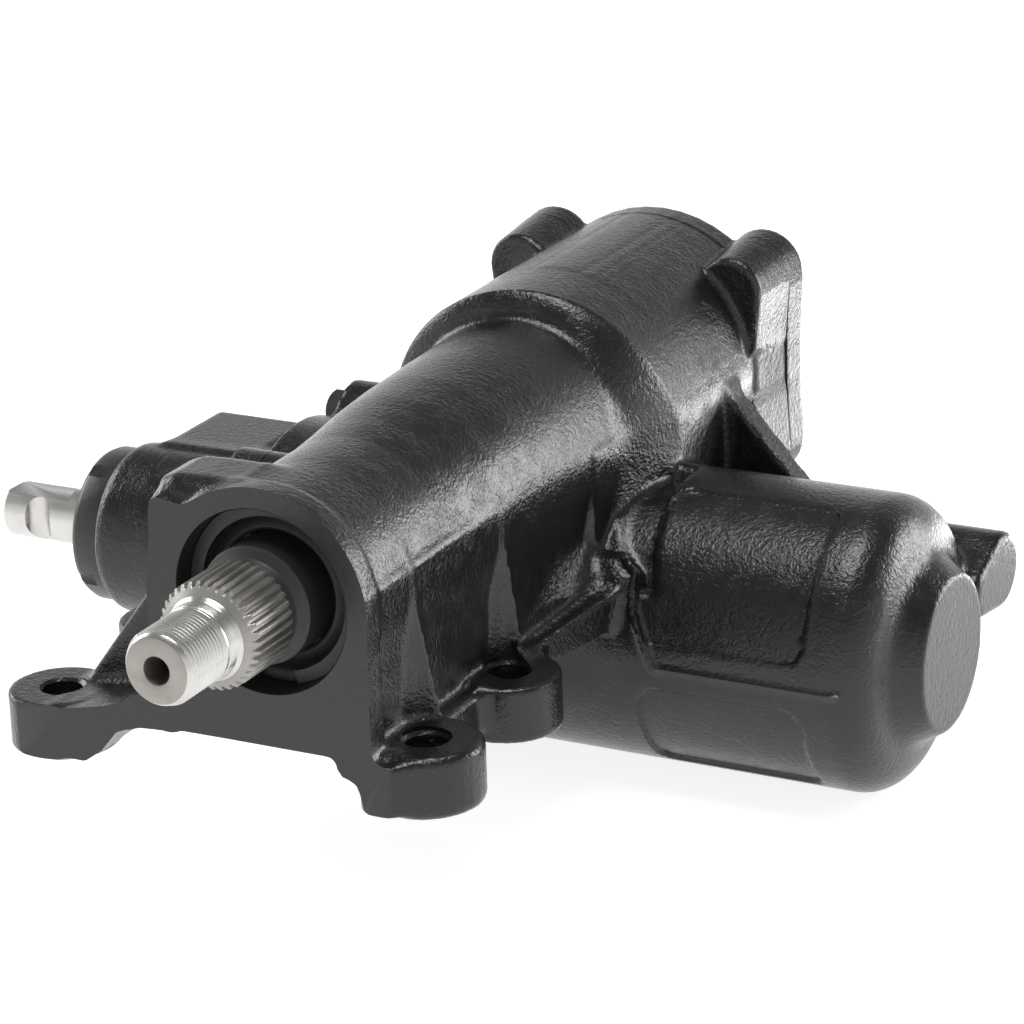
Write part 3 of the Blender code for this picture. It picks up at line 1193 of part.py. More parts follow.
def build_input_end(mats):
    """Adjuster plug with its lock ring, bearing, seals and snap ring."""
    axis = (WORM_Y, WORM_Z)
    thread_r = PLUG_THREAD_R - 0.15
    lip_from = PLUG_END_X + PLUG_SEAL_DEPTH
    lip_to = lip_from + PLUG_LIP_THICK
    piece("adjuster_plug", lathe("x", axis, [
        (PLUG_FROM_X - 0.5, PLUG_BEARING_R), (PLUG_FROM_X - 0.5, thread_r),
        (PLUG_END_X, thread_r), (PLUG_END_X, PLUG_SEAL_R), (lip_from, PLUG_SEAL_R),
        (lip_from, PLUG_LIP_R), (lip_to, PLUG_LIP_R), (lip_to, PLUG_BEARING_R)]), mats["steel"])
    ring_to = VALVE_END_X - GAP
    piece("plug_lock_ring", lathe("x", axis, [
        (ring_to, PLUG_THREAD_R + 0.1), (ring_to, LOCK_RING_R),
        (LOCK_RING_END_X + LOCK_RING_CHAMFER, LOCK_RING_R),
        (LOCK_RING_END_X, LOCK_RING_R - LOCK_RING_CHAMFER),
        (LOCK_RING_END_X, PLUG_THREAD_R + 0.1)]), mats["black"])
    shaft_r = INPUT_R + PLAY
    seal_r = PLUG_SEAL_R - 0.2
    bearing_x = lip_to + GAP
    piece("input_bearing", tube("x", axis, bearing_x, PLUG_FROM_X - BEARING_END_ROOM, shaft_r,
                                PLUG_BEARING_R - 0.2, FINE_SEG), mats["bearing"])
    seal_to = lip_from - GAP
    seal_from = seal_to - OIL_SEAL_LENGTH
    ring_from = seal_from - 0.5 - INPUT_RING_THICK
    dust_to = ring_from - STACK_GAP
    piece("input_oil_seal", tube("x", axis, seal_from, seal_to, shaft_r, seal_r, FINE_SEG),
          mats["rubber"])
    piece("input_snap_ring", tube("x", axis, ring_from, ring_from + INPUT_RING_THICK,
                                  INPUT_RING_R, seal_r, FINE_SEG), mats["spring"])
    piece("input_dust_seal", tube("x", axis, dust_to - INPUT_DUST_LENGTH, dust_to, shaft_r,
                                  seal_r, FINE_SEG), mats["rubber"])
    seat_from = PORT_PAD_Y - PORT_DEPTH + GAP
    for tag, x in zip(("pressure", "return"), PORT_X):
        piece(tag + "_port_seat", tube("y", (x, PORT_Z), seat_from, seat_from + PORT_SEAT_THICK,
                                       PORT_PASSAGE_R, PORT_R - 0.2, FINE_SEG), mats["bronze"])


def main():
    clear_scene()
    mats = {
        "black": make_material("black_paint", (0.012, 0.012, 0.014), 0.3, 0.0),
        "steel": make_material("machined_steel", (0.55, 0.55, 0.56), 0.32, 1.0),
        "bearing": make_material("bearing_steel", (0.62, 0.62, 0.64), 0.22, 1.0),
        "spring": make_material("spring_steel", (0.3, 0.3, 0.32), 0.35, 1.0),
        "bolt": make_material("coated_bolt", (0.08, 0.08, 0.085), 0.42, 0.7),
        "bronze": make_material("bronze", (0.62, 0.4, 0.17), 0.35, 1.0),
        "rubber": make_material("seal_rubber", (0.02, 0.02, 0.02), 0.65, 0.0),
        "ptfe": make_material("ptfe", (0.3, 0.2, 0.13), 0.5, 0.0),
        "ball": make_material("ball_steel", (0.75, 0.75, 0.77), 0.12, 1.0),
        "zinc": make_material("zinc_plate", (0.6, 0.58, 0.5), 0.4, 1.0),
    }
    build_housing(mats["black"])
    build_cover(mats["black"])
    build_valve_housing(mats["black"])
    build_sector_shaft(mats["steel"])
    build_piston(mats["bearing"])
    build_worm(mats["steel"])
    build_input_shaft(mats["steel"])
    build_shaft_seals(mats)
    build_adjuster(mats)
    build_bolts(mats)
    build_balls(mats)
    build_return_guide(mats)
    build_worm_bearings(mats)
    build_valve_sleeve(mats)
    build_input_end(mats)


main()
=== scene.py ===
"""Looks of the steering gearbox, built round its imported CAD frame.

Sizes are in millimetres in the drawing frame: the output shaft runs along Y
through x = 0, z = 0 with its threaded end at y = 0, and the worm runs along X
through y = 222, z = -56. `OFFSET` moves that frame to the frame of the CAD.
"""
from math import acos, cos, pi, radians, sin, tan

import bmesh
import bpy
import numpy as np
from mathutils import Matrix, Vector

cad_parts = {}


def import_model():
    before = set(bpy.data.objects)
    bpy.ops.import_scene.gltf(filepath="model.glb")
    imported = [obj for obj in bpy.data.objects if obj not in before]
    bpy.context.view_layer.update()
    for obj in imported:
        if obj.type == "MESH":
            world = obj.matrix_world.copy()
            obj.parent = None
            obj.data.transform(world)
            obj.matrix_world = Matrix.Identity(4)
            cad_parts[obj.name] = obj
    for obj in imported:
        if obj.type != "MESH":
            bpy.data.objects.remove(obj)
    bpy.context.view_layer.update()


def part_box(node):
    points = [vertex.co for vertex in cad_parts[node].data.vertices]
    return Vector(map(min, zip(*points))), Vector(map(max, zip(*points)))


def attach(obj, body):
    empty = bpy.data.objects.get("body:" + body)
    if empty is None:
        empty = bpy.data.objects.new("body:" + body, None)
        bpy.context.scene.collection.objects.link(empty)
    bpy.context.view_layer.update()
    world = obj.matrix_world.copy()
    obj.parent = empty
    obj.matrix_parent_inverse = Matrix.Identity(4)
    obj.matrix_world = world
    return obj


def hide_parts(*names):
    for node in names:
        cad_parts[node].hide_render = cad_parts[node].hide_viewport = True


OFFSET = np.array([67.5, -69.0, 60.5])
MM = 0.001

# Fineness of the castings' meshes, and the angle from which an edge stays crisp
FACE_LIMIT = 170000
CREASE = 40.0

# Axes
WORM = (222.0, -56.0)
SHAFT = (0.0, 0.0)

# Castings
FRONT_Y = 54.4
JOINT_Y = 306.0
COVER_Y = 306.3
COVER_BACK_Y = 316.3
BOLT_SEAT_Y = COVER_BACK_Y - 0.5
BOSS_Y = 322.0
TUBE_REAR_R = 36.2
DRUM_R = 44.5
CYLINDER_R = 46.0
BOSS_FACE_X = 139.5
VALVE_JOINT_X = -75.0
FOOT_TOP = -43.5
FOOT_SEAT = -60.5
FOOT_R = 16.0
FEET = {"a": (-78.5, 69.0, 6.0), "b": (39.0, 75.5, 6.4),
        "c": (36.0, 131.0, 6.4), "d": (-78.0, 128.0, 6.0)}
EARS = [(sx * 37.7, sz * 28.3) for sx in (1, -1) for sz in (1, -1)]
EAR_R = 11.0
EAR_FROM_Y = 286.0
FLANGE_BOLTS = [(WORM[0] + s * 36.5, z) for s in (1, -1) for z in (-19.0, -91.0)]
PORTS = (-133.0, -115.0)
PORT_Z = -36.0
PORT_PAD_Y = 262.0

# Bores and turned seats
CYLINDER_BORE_R = 38.0
CHAMBER_R = 38.5
CHAMBER_MOUTH_R = 35.3
SEAL_BORE_R = 27.1
SEAL_BORE_TO_Y = 79.0
BEARING_BORE_R = 22.5
SHAFT_BORE_R = 18.6
SHOULDER_BORE_R = 20.0
POCKET_R = 21.0
VALVE_BORE_R = 19.5
PLUG_BORE_R = 20.7
BEARING_PLANE_X = -92.5
PLUG_PLANE_X = -132.5
LOCK_RING_X = -150.4
LOBE_R = 10.5

def soften(outline, radius, steps=4):
    """Outline with each of its corners turned into a small arc."""
    pts = np.asarray(outline, float)
    radii = radius if hasattr(radius, "__len__") else [radius] * len(pts)
    out = []
    for k, (p, r) in enumerate(zip(pts, radii)):
        a, b = pts[k - 1] - p, pts[(k + 1) % len(pts)] - p
        la, lb = np.hypot(*a), np.hypot(*b)
        a, b = a / la, b / lb
        half = acos(float(np.clip(a @ b, -1.0, 1.0))) / 2.0
        reach = min(r / max(tan(half), 1e-6), 0.48 * la, 0.48 * lb)
        if r <= 0.0 or half > 1.54:
            out.append(p)
            continue
        for t in np.linspace(0.0, 1.0, steps + 1):
            start, end = p + a * reach, p + b * reach
            out.append((1 - t) ** 2 * start + 2 * t * (1 - t) * p + t ** 2 * end)
    return np.array(out)


def arc(cx, cy, r, start, stop, steps=10):
    angles = np.radians(np.linspace(start, stop, steps + 1))
    return [(cx + r * cos(a), cy + r * sin(a)) for a in angles]


def hull(circles):
    """Outline like a belt round several circles given as (u, v, radius)."""
    pts = sorted({(round(u + r * cos(a), 4), round(v + r * sin(a), 4))
                  for u, v, r in circles for a in np.radians(np.arange(0, 360, 12))})

    def half(seq):
        out = []
        for p in seq:
            while len(out) > 1 and ((out[-1][0] - out[-2][0]) * (p[1] - out[-2][1])
                                    - (out[-1][1] - out[-2][1]) * (p[0] - out[-2][0])) <= 1e-6:
                out.pop()
            out.append(p)
        return out[:-1]

    return np.array(half(pts) + half(pts[::-1]))


def outline_distance(u, v, outline):
    """Distance of points from a closed outline, negative inside it."""
    near = np.full(u.shape, 1e9, np.float32)
    inside = np.zeros(u.shape, bool)
    for (u0, v0), (u1, v1) in zip(outline, np.roll(outline, -1, axis=0)):
        du, dv = u1 - u0, v1 - v0
        length = du * du + dv * dv
        if length < 1e-9:
            continue
        pu, pv = u - u0, v - v0
        t = np.clip((pu * du + pv * dv) / length, 0.0, 1.0)
        near = np.minimum(near, (pu - t * du) ** 2 + (pv - t * dv) ** 2)
        if abs(dv) > 1e-9:
            inside ^= ((v >= v0) != (v >= v1)) & (pu < pv * (du / dv))
    near = np.sqrt(near)
    return np.where(inside, -near, near)


class Form:
    """One shape of a casting: a distance rule, the box it fills and its fillet."""

    def __init__(self, rule, low, high, fillet=3.0, cut=False):
        self.rule = rule
        self.low = np.array(low, float)
        self.high = np.array(high, float)
        self.fillet = fillet
        self.cut = cut


def axis_radius(p, axis, centre):
    _, b, c = AXES[axis]
    return np.hypot(p[:, b] - centre[0], p[:, c] - centre[1])


AXES = {"x": (0, 1, 2), "y": (1, 0, 2), "z": (2, 0, 1)}


def rounded(u, v, edge):
    """Distance rule of two flat rules that meet in a rounded corner."""
    inside = np.minimum(np.maximum(u, v), 0.0)
    return inside + np.hypot(np.maximum(u, 0.0), np.maximum(v, 0.0)) - edge


def box_corners(axis, span, low, high):
    """Two corners of a box, from its span along an axis and its reach across it."""
    a, b, c = AXES[axis]
    corners = np.zeros((2, 3))
    corners[:, a], corners[:, b], corners[:, c] = span, (low[0], high[0]), (low[1], high[1])
    return corners


def plate(axis, outline, lo, hi, edge=1.0, fillet=3.0, cut=False, lean=0.0):
    """Outline drawn out along an axis, with rounded rims and moulding draft."""
    outline = np.asarray(outline, np.float32)
    a, b, c = AXES[axis]
    mid, half = (lo + hi) / 2.0, (hi - lo) / 2.0

    def rule(p):
        side = outline_distance(p[:, b], p[:, c], outline) + edge
        if lean:
            side = side + lean * (p[:, a] - mid)
        return rounded(side, np.abs(p[:, a] - mid) - half + edge, edge)

    corners = box_corners(axis, (lo, hi), outline.min(0), outline.max(0))
    return Form(rule, *corners, fillet, cut)


def turned(axis, centre, profile, fillet=3.0):
    """Outline of (along, radius) pairs turned round an axis."""
    prof = np.asarray(profile, np.float32)
    a = AXES[axis][0]

    def rule(p):
        return outline_distance(p[:, a], axis_radius(p, axis, centre), prof)

    reach = prof[:, 1].max()
    span = (prof[:, 0].min(), prof[:, 0].max())
    return Form(rule, *box_corners(axis, span, np.array(centre) - reach, np.array(centre) + reach),
                fillet)


def rod_form(start, stop, r0, r1, fillet=3.0):
    """Round bar between two points, with its ends domed."""
    start, stop = np.array(start, float), np.array(stop, float)
    line = stop - start

    def rule(p):
        t = np.clip((p - start) @ line / (line @ line), 0.0, 1.0)
        return np.linalg.norm(p - start - t[:, None] * line, axis=1) - (r0 + (r1 - r0) * t)

    reach = max(r0, r1)
    return Form(rule, np.minimum(start, stop) - reach, np.maximum(start, stop) + reach, fillet)


def casting_field(forms):
    """Distance rule of a whole casting whose forms flow into each other in fillets."""
    def field(points, everywhere=False):
        dist = np.full(len(points), 60.0, np.float32)
        for form in forms:
            reach = form.fillet + 6.0
            if everywhere:
                pick = slice(None)
            else:
                inside = np.all((points > form.low - reach) & (points < form.high + reach), axis=1)
                pick = np.flatnonzero(inside)
                if not len(pick):
                    continue
            new = form.rule(points[pick])
            old = dist[pick]
            r = form.fillet
            if form.cut:
                u, v = np.maximum(r + old, 0.0), np.maximum(r - new, 0.0)
                dist[pick] = np.minimum(-r, np.maximum(old, -new)) + np.hypot(u, v)
            else:
                u, v = np.maximum(r - old, 0.0), np.maximum(r - new, 0.0)
                dist[pick] = np.maximum(r, np.minimum(old, new)) - np.hypot(u, v)
        return dist
    return field


def lattice_values(field, low, counts, step, block=8):
    """Field on a lattice, worked out only in the blocks that the skin passes through."""
    blocks = counts // block
    index = np.stack(np.meshgrid(*[np.arange(n) for n in blocks], indexing="ij"), -1).reshape(-1, 3)
    middle = field(low + (index + 0.5) * block * step, True).reshape(blocks)
    live = np.abs(middle) < block * step * 0.87 + 4.0
    spread = [np.repeat(np.arange(n), block) for n in blocks]
    spread = [np.append(s, s[-1]) for s in spread]
    grid = np.ix_(*spread)
    values = middle[grid].astype(np.float32)
    mask = live[grid]
    for axis in range(3):
        mask = mask | np.roll(mask, 1, axis)
    spots = np.argwhere(mask)
    for chunk in np.array_split(spots, max(1, len(spots) // 300000)):
        values[tuple(chunk.T)] = field(low + chunk * step)
    return values


def skin(field, low, high, step):
    """Closed mesh of the surface where the field is zero, with crisp edges kept."""
    low, high = np.array(low, float), np.array(high, float)
    counts = (np.ceil((high - low) / step / 8).astype(int)) * 8
    values = lattice_values(field, low, counts, step)
    solid = values < 0.0
    owners, spots, normals, quads = [], [], [], []
    shape = counts + 1
    for axis in range(3):
        first = np.take(solid, range(shape[axis] - 1), axis)
        second = np.take(solid, range(1, shape[axis]), axis)
        edge = np.argwhere(first != second)
        after = edge.copy()
        after[:, axis] += 1
        v0, v1 = values[tuple(edge.T)], values[tuple(after.T)]
        t = v0 / (v0 - v1)
        point = low + (edge + 0.0) * step
        point[:, axis] += t * step
        b, c = [k for k in range(3) if k != axis]
        ring = []
        for db, dc in ((0, 0), (-1, 0), (-1, -1), (0, -1)):
            cell = edge.copy()
            cell[:, b] += db
            cell[:, c] += dc
            ring.append(np.ravel_multi_index(tuple(cell.T), shape))
        ring = np.stack(ring, 1)
        flip = first[tuple(edge.T)] == (axis == 1)
        ring[flip] = ring[flip][:, ::-1]
        quads.append(ring)
        owners.append(ring.ravel())
        spots.append(np.repeat(point, 4, axis=0))
        slope = np.zeros_like(point)
        h = 0.25
        for corner in ((1, 1, 1), (1, -1, -1), (-1, 1, -1), (-1, -1, 1)):
            corner = np.array(corner, float)
            slope += field(point + corner * h)[:, None] * corner
        slope /= np.maximum(np.linalg.norm(slope, axis=1, keepdims=True), 1e-9)
        normals.append(np.repeat(slope, 4, axis=0))
    owners, spots, normals = (np.concatenate(x) for x in (owners, spots, normals))
    cells, inverse = np.unique(owners, return_inverse=True)
    count = np.bincount(inverse).astype(float)

    def total(weights):
        return np.bincount(inverse, weights, len(cells))

    centre = np.stack([total(spots[:, k]) / count for k in range(3)], 1)
    pull = np.einsum("ij,ij->i", normals, spots - centre[inverse])
    matrix = np.empty((len(cells), 3, 3))
    for i in range(3):
        for j in range(i, 3):
            matrix[:, i, j] = matrix[:, j, i] = total(normals[:, i] * normals[:, j])
        matrix[:, i, i] += 0.06 * count
    side = np.stack([total(normals[:, k] * pull) for k in range(3)], 1)
    move = np.linalg.solve(matrix, side[:, :, None])[:, :, 0]
    verts = centre + np.clip(move, -0.75 * step, 0.75 * step)
    faces = np.searchsorted(cells, np.concatenate(quads))
    return verts, faces


SHOULDER_ANGLES = [-180.0, -60.0, -15.0, 4.0, 27.0, 49.0, 69.0, 87.0, 102.0, 125.0, 180.0]
SHOULDER_START = [208.4, 205.8, 205.8, 206.5, 209.3, 211.0, 211.7, 211.2, 209.6, 208.4, 208.4]
SHOULDER_END = [212.2, 240.0, 240.0, 233.5, 225.5, 222.0, 218.5, 216.0, 213.6, 212.2, 212.2]


def drum_form():
    """Round gear chamber; its shoulder widens to the right and flares out to the cylinder."""
    drop = DRUM_R - 35.6

    def rule(p):
        x, y, z = p[:, 0], p[:, 1], p[:, 2]
        flare = np.where(x > 0.0, np.clip(-z / 30.0, 0.0, 1.03) ** 3.0, 0.0)
        flare = flare * np.clip((238.0 - y) / 24.0, 0.0, 1.0)
        x, y = x - 12.0 * flare, y + 20.5 * flare
        angle = np.degrees(np.arctan2(np.maximum(z, 0.0), x))
        radius = np.where(z > 0.0, np.hypot(x, z), np.abs(x))
        begin = np.interp(angle, SHOULDER_ANGLES, SHOULDER_START)
        end = np.interp(angle, SHOULDER_ANGLES, SHOULDER_END)
        wide = end - begin
        u = np.maximum(radius - DRUM_R + drop, 0.0) / drop
        v = np.maximum(end - y, 0.0) / wide
        power = np.interp(angle, [0.0, 25.0, 60.0, 180.0], [1.12, 1.15, 1.4, 1.5])
        shell = ((u ** power + v ** power) ** (1.0 / power) - 1.0) * np.minimum(drop, wide)
        back = np.where(z > 0.0, p[:, 1] - 308.6, p[:, 1] - 268.0)
        return np.maximum(np.maximum(shell, back), -64.0 - z)

    return Form(rule, (-DRUM_R, 184.0, -64.0), (DRUM_R + 13.0, 308.6, DRUM_R), 2.4)


def tube_forms():
    """Long tube of the output shaft and the gear chamber behind it."""
    tube = [(52.0, 0.0), (52.0, 32.7), (57.0, 32.7), (63.0, 31.9), (85.0, 31.1), (108.0, 31.2),
            (122.0, 32.3), (138.0, 34.0), (154.0, 35.0), (176.0, 35.7), (200.0, TUBE_REAR_R),
            (240.0, TUBE_REAR_R), (240.0, 0.0)]
    round_drum = [(240.0, 0.0), (240.0, DRUM_R), (308.6, DRUM_R), (308.6, 0.0)]
    return [turned("y", SHAFT, tube, 2.2), drum_form(),
            turned("y", SHAFT, round_drum, 0.05)]


def cylinder_forms():
    """Power cylinder with its domed end, boss, recessed fields and parting line."""
    dome = arc(116.0, CYLINDER_R - 14.0, 14.0, 90.0, 12.0, 8)
    profile = [(-90.0, 0.0), (-90.0, CYLINDER_R), (60.0, CYLINDER_R)] + dome
    profile += [(130.6, 31.6), (131.6, 29.8), (133.2, 28.3), (138.6, 24.8),
                (139.3, 24.2), (BOSS_FACE_X, 23.4), (BOSS_FACE_X, 0.0)]
    return [turned("x", WORM, profile, 3.0),
            panel(102.0, 170.5, 54.5, 108.7), panel(189.5, 237.0, 54.5, 108.7),
            panel(-60.0, 60.0, 54.5, 108.7), panel(102.0, 170.5, -60.0, -50.0),
            valley_form(),
            fin_form([(47.0, 139.0), (49.0, 142.0), (52.3, 145.0), (53.0, 157.7), (61.3, 180.0)],
                     1.0, 1.5),
            fin_form([(61.3, 180.0), (128.0, 180.0)], 0.7, 0.5)]


def unrolled(p):
    """Points as (x, distance round the power cylinder, radius), from its rear side."""
    y, z = p[:, 1] - WORM[0], p[:, 2] - WORM[1]
    turn = np.arctan2(z, y) % (2.0 * pi)
    return p[:, 0], turn * CYLINDER_R, np.hypot(y, z)


def valley_form():
    """Hollow between the gear chamber and the start of the power cylinder."""
    corners = [(33.0, 80.0), (50.5, 80.0), (51.5, 110.0), (53.5, 132.0), (57.0, 150.0),
               (54.5, 150.0), (53.0, 144.0), (47.0, 138.0), (33.0, 138.0)]
    outline = np.array([(x, radians(a) * CYLINDER_R) for x, a in corners])

    def rule(p):
        x, round_, radius = unrolled(p)
        return np.maximum(outline_distance(x, round_, outline), 40.6 - radius)

    low = (33.0, WORM[0] - 50.0, WORM[1] - 5.0)
    return Form(rule, low, (58.0, WORM[0] + 12.0, WORM[1] + 50.0), 4.5, True)


def fin_form(path, half, height):
    """Thin raised line along a path of (x, degrees) on the power cylinder."""
    path = np.array([(x, radians(a) * CYLINDER_R) for x, a in path])

    def rule(p):
        x, round_, radius = unrolled(p)
        near = np.full(len(p), 1e9)
        for (u0, v0), (u1, v1) in zip(path[:-1], path[1:]):
            du, dv = u1 - u0, v1 - v0
            t = np.clip(((x - u0) * du + (round_ - v0) * dv) / (du * du + dv * dv), 0.0, 1.0)
            near = np.minimum(near, np.hypot(x - u0 - t * du, round_ - v0 - t * dv))
        over = np.abs(radius - CYLINDER_R) - height
        return np.hypot(np.maximum(near - half + 0.5, 0.0), np.maximum(over + 0.5, 0.0)) - 0.5

    low_x, high_x = path[:, 0].min() - 2.0, path[:, 0].max() + 2.0
    return Form(rule, (low_x, WORM[0] - 50.0, WORM[1] - 4.0),
                (high_x, WORM[0], WORM[1] + 40.0), 1.2)


def flange_lobes(lo, hi, edge):
    """Four lobes of the joint between power cylinder and valve housing."""
    return [plate("x", hull([(y, z, LOBE_R), (*WORM, 20.0)]), lo, hi, edge, 3.0)
            for y, z in FLANGE_BOLTS]


def end_forms():
    """Lobes of the valve flange and the rear lug on the power cylinder."""
    lug = hull([(274.0, -48.0, 12.2), (258.0, -50.0, 8.0)])
    return flange_lobes(-90.0, -62.0, 1.5) + [plate("x", lug, 113.0, 136.5, 2.6, 4.0)]


def panel(start, stop, low_x, high_x, depth=1.3, corner=6.0):
    """Shallow recessed field in the wall of the power cylinder, angles in degrees."""
    mid, half = radians(start + stop) / 2.0, radians(stop - start) / 2.0 * CYLINDER_R
    mid_x, half_x = (low_x + high_x) / 2.0, (high_x - low_x) / 2.0

    def rule(p):
        y, z = p[:, 1] - WORM[0], p[:, 2] - WORM[1]
        turn = (np.arctan2(z, y) - mid + pi) % (2.0 * pi) - pi
        across = np.abs(turn) * CYLINDER_R - half + corner
        along = np.abs(p[:, 0] - mid_x) - half_x + corner
        return np.maximum(rounded(across, along, corner), CYLINDER_R - depth - np.hypot(y, z))

    reach = CYLINDER_R + 1.0
    return Form(rule, (low_x, WORM[0] - reach, WORM[1] - reach),
                (high_x, WORM[0] + reach, WORM[1] + reach), 1.0, True)


def side_flare(y):
    """How far the right wall has swung out towards the power cylinder."""
    return np.interp(y, [138.0, 148.0, 184.0, 190.0], [0.0, 2.0, 14.0, 14.5])


def flare_form():
    """Wall that swings out from under the tube to the power cylinder."""
    def rule(p):
        down = 0.75 * np.clip(-p[:, 2] / 34.0, 0.0, 1.0) ** 3.2
        side = (p[:, 0] - 30.6 - side_flare(p[:, 1]) * down) * 0.9
        ends = np.maximum(136.0 - p[:, 1], p[:, 1] - 208.0)
        height = np.maximum(p[:, 2] - 2.0, -47.0 - p[:, 2])
        return np.maximum(np.maximum(side, ends), np.maximum(height, 20.0 - p[:, 0]))

    return Form(rule, (20.0, 136.0, -47.0), (46.0, 208.0, 2.0), 4.0)


def ledge_form():
    """Thick rim along the foot of that wall, from the rear foot to the cylinder."""
    start, stop, edge = 131.0, 190.0, 1.2

    def rule(p):
        y, z = p[:, 1], p[:, 2]
        top = np.interp(y, [start, 150.0, 185.0], [-43.0, -41.0, -33.0])
        low = np.interp(y, [start, 150.0, 185.0], [-53.0, -49.0, -45.2])
        across = np.abs(z - (top + low) / 2.0) - (top - low) / 2.0 + edge
        side = (p[:, 0] - 36.4 - side_flare(y)) * 0.92 + edge
        return np.maximum(rounded(across, side, edge), np.maximum(start - y, y - stop))

    return Form(rule, (20.0, start, -53.0), (51.0, stop, -33.0), 3.0)


def foot_forms():
    """Four feet with their arms, ribs and gussets, and the ledge behind them."""
    forms = []
    ledge = [(20.0, -44.0), (34.5, -44.0), (36.0, -45.6), (36.6, -54.5), (20.0, -54.5)]
    forms.append(plate("y", ledge, 80.0, 140.0, 1.2, 3.0))
    forms += [flare_form(), ledge_form()]
    for name in "bc":
        x, y, _ = FEET[name]
        outline = hull([(x, y, FOOT_R), (x - 5.0, y, 12.0)])
        forms.append(plate("z", outline, FOOT_SEAT, FOOT_TOP, 1.6, 4.6))
    corner = hull([(39.0, 75.5, 15.0), (34.6, 61.0, 8.0), (30.0, 70.0, 8.0)])
    forms.append(plate("z", corner, FOOT_SEAT + 1.6, FOOT_TOP, 1.2, 4.0))
    for name in "ad":
        x, y, _ = FEET[name]
        forms.append(plate("z", arc(x, y, FOOT_R, 0.0, 350.0, 35), FOOT_SEAT, FOOT_TOP, 1.6, 2.0))
        front = FRONT_Y - 2.4 if name == "a" else y - 13.0
        back = 80.4 if name == "a" else y + 13.0
        arm = soften([(-30.0, -34.0), (-44.5, -36.5), (-54.5, -40.2), (x + 8.5, -43.6),
                      (x + 4.0, -43.8), (x + 4.0, -58.6), (-62.5, -58.8), (-56.5, -54.5),
                      (-51.0, -47.8), (-43.0, -44.4), (-30.0, -44.4)], 3.0)
        forms.append(plate("y", arm, front, back, 0.8, 2.6))
        web = [(-30.0, 12.0), (-34.0, 11.0), (x + 3.5, -44.0), (-30.0, -44.0)]
        forms.append(plate("y", web, y + 6.5, y + 14.5, 1.6, 3.4))
    for apex, front, ridge, back in (
            ((31.4, 82.5, 5.0), (28.5, 78.5), (36.6, 91.0), (28.5, 96.5)),
            ((33.6, 134.4, 3.0), (28.5, 131.5), (37.4, 140.6), (28.5, 146.0))):
        base = [(*spot, -46.0) for spot in (front, ridge, back)]
        top = [(28.0, apex[1] - 2.5, apex[2] + 5.0), apex, (28.0, apex[1] + 4.0, apex[2] + 5.0)]
        forms.append(convex(base + top, [(0, 1, 4), (0, 4, 3), (1, 2, 5), (1, 5, 4), (0, 2, 1),
                                         (3, 4, 5), (0, 3, 5)], 0.9, 2.6))
    return forms


def skirt_forms():
    """Walls under the tube, its flat front and the corner pad."""
    wall = [(-33.0, 4.0), (-33.0, -43.2), (29.6, -43.2), (30.2, -20.0), (31.0, 4.0)]
    rear = [(-36.0, 4.0), (-36.0, -50.0), (35.8, -50.0), (36.0, 4.0)]
    face = arc(0.0, 0.0, 33.1, 0.0, 123.0, 26)
    front = face + [(-20.6, 25.9), (-24.5, 24.6), (-28.5, 25.2), (-32.4, 26.4), (-34.4, 25.6),
                    (-35.1, 23.0), (-35.6, 12.6), (-37.3, 0.0), (-37.7, -12.5), (-38.4, -28.0),
                    (-40.5, -33.6), (-46.0, -36.8), (-46.0, -44.8), (-40.0, -43.6),
                    (-33.0, -42.4), (-13.0, -41.8), (18.6, -41.4), (21.2, -42.4),
                    (22.0, -46.6), (23.6, -48.8), (28.4, -49.8), (30.4, -52.0),
                    (31.6, -54.6), (33.4, -54.6), (33.2, -30.0)]
    pad = [(-37.5, 8.0), (-35.8, 24.0), (-34.0, 30.2), (-29.5, 32.0), (-21.0, 32.4),
           (-9.0, 32.4), (0.0, 29.0), (0.0, 8.0)]
    return [plate("y", wall, 52.0, 200.0, 2.0, 4.5),
            plate("y", rear, 190.0, 215.0, 1.0, 3.0),
            plate("y", front, 52.0, 62.5, 1.0, 2.6),
            plate("y", pad, 55.4, 82.0, 6.8, 3.0)]


def convex(points, faces, edge, fillet):
    """Solid between planes, each through three of the given points."""
    points = np.array(points, float)
    middle = points.mean(0)
    planes = []
    for face in faces:
        a, b, c = points[list(face)]
        normal = np.cross(b - a, c - a)
        normal /= np.linalg.norm(normal)
        if (middle - a) @ normal > 0.0:
            normal = -normal
        planes.append((normal, normal @ a - edge))

    def rule(p):
        most = np.full(len(p), -1e9)
        total = np.zeros(len(p))
        for normal, reach in planes:
            dist = p @ normal - reach
            most = np.maximum(most, dist)
            total += np.maximum(dist, 0.0) ** 2
        return np.minimum(most, 0.0) + np.sqrt(total) - edge

    return Form(rule, points.min(0), points.max(0), fillet)


def ear_outline(x, z, radius):
    """Outline of one bolt ear, with its side drawn down towards the middle."""
    sx, sz = np.sign(x), np.sign(z)
    return hull([(x, z, radius), (x + sx * (radius - 6.8), z - sz * 17.5, 5.0)])


def ear_forms():
    """Bolt ears and flange of the side cover, with the gusset to the cylinder."""
    forms = []
    for x, z in EARS:
        outline = ear_outline(x, z, EAR_R + 0.5)
        forms.append(plate("y", outline, EAR_FROM_Y, 308.6, 1.4, 2.4, False, -0.09))
    side = 46.9
    flange = [(-side, -27.0), (side, -27.0), (side, 27.0), (-side, 27.0)]
    forms.append(plate("y", flange, 290.0, 308.6, 1.0, 2.0, False, -0.2))
    gusset = [(38.0, 1.8), (44.6, 1.2), (47.0, -1.6), (84.5, -44.0), (84.5, -56.0), (38.0, -56.0)]
    forms.append(plate("y", gusset, 267.5, 276.5, 1.1, 3.6))
    return forms


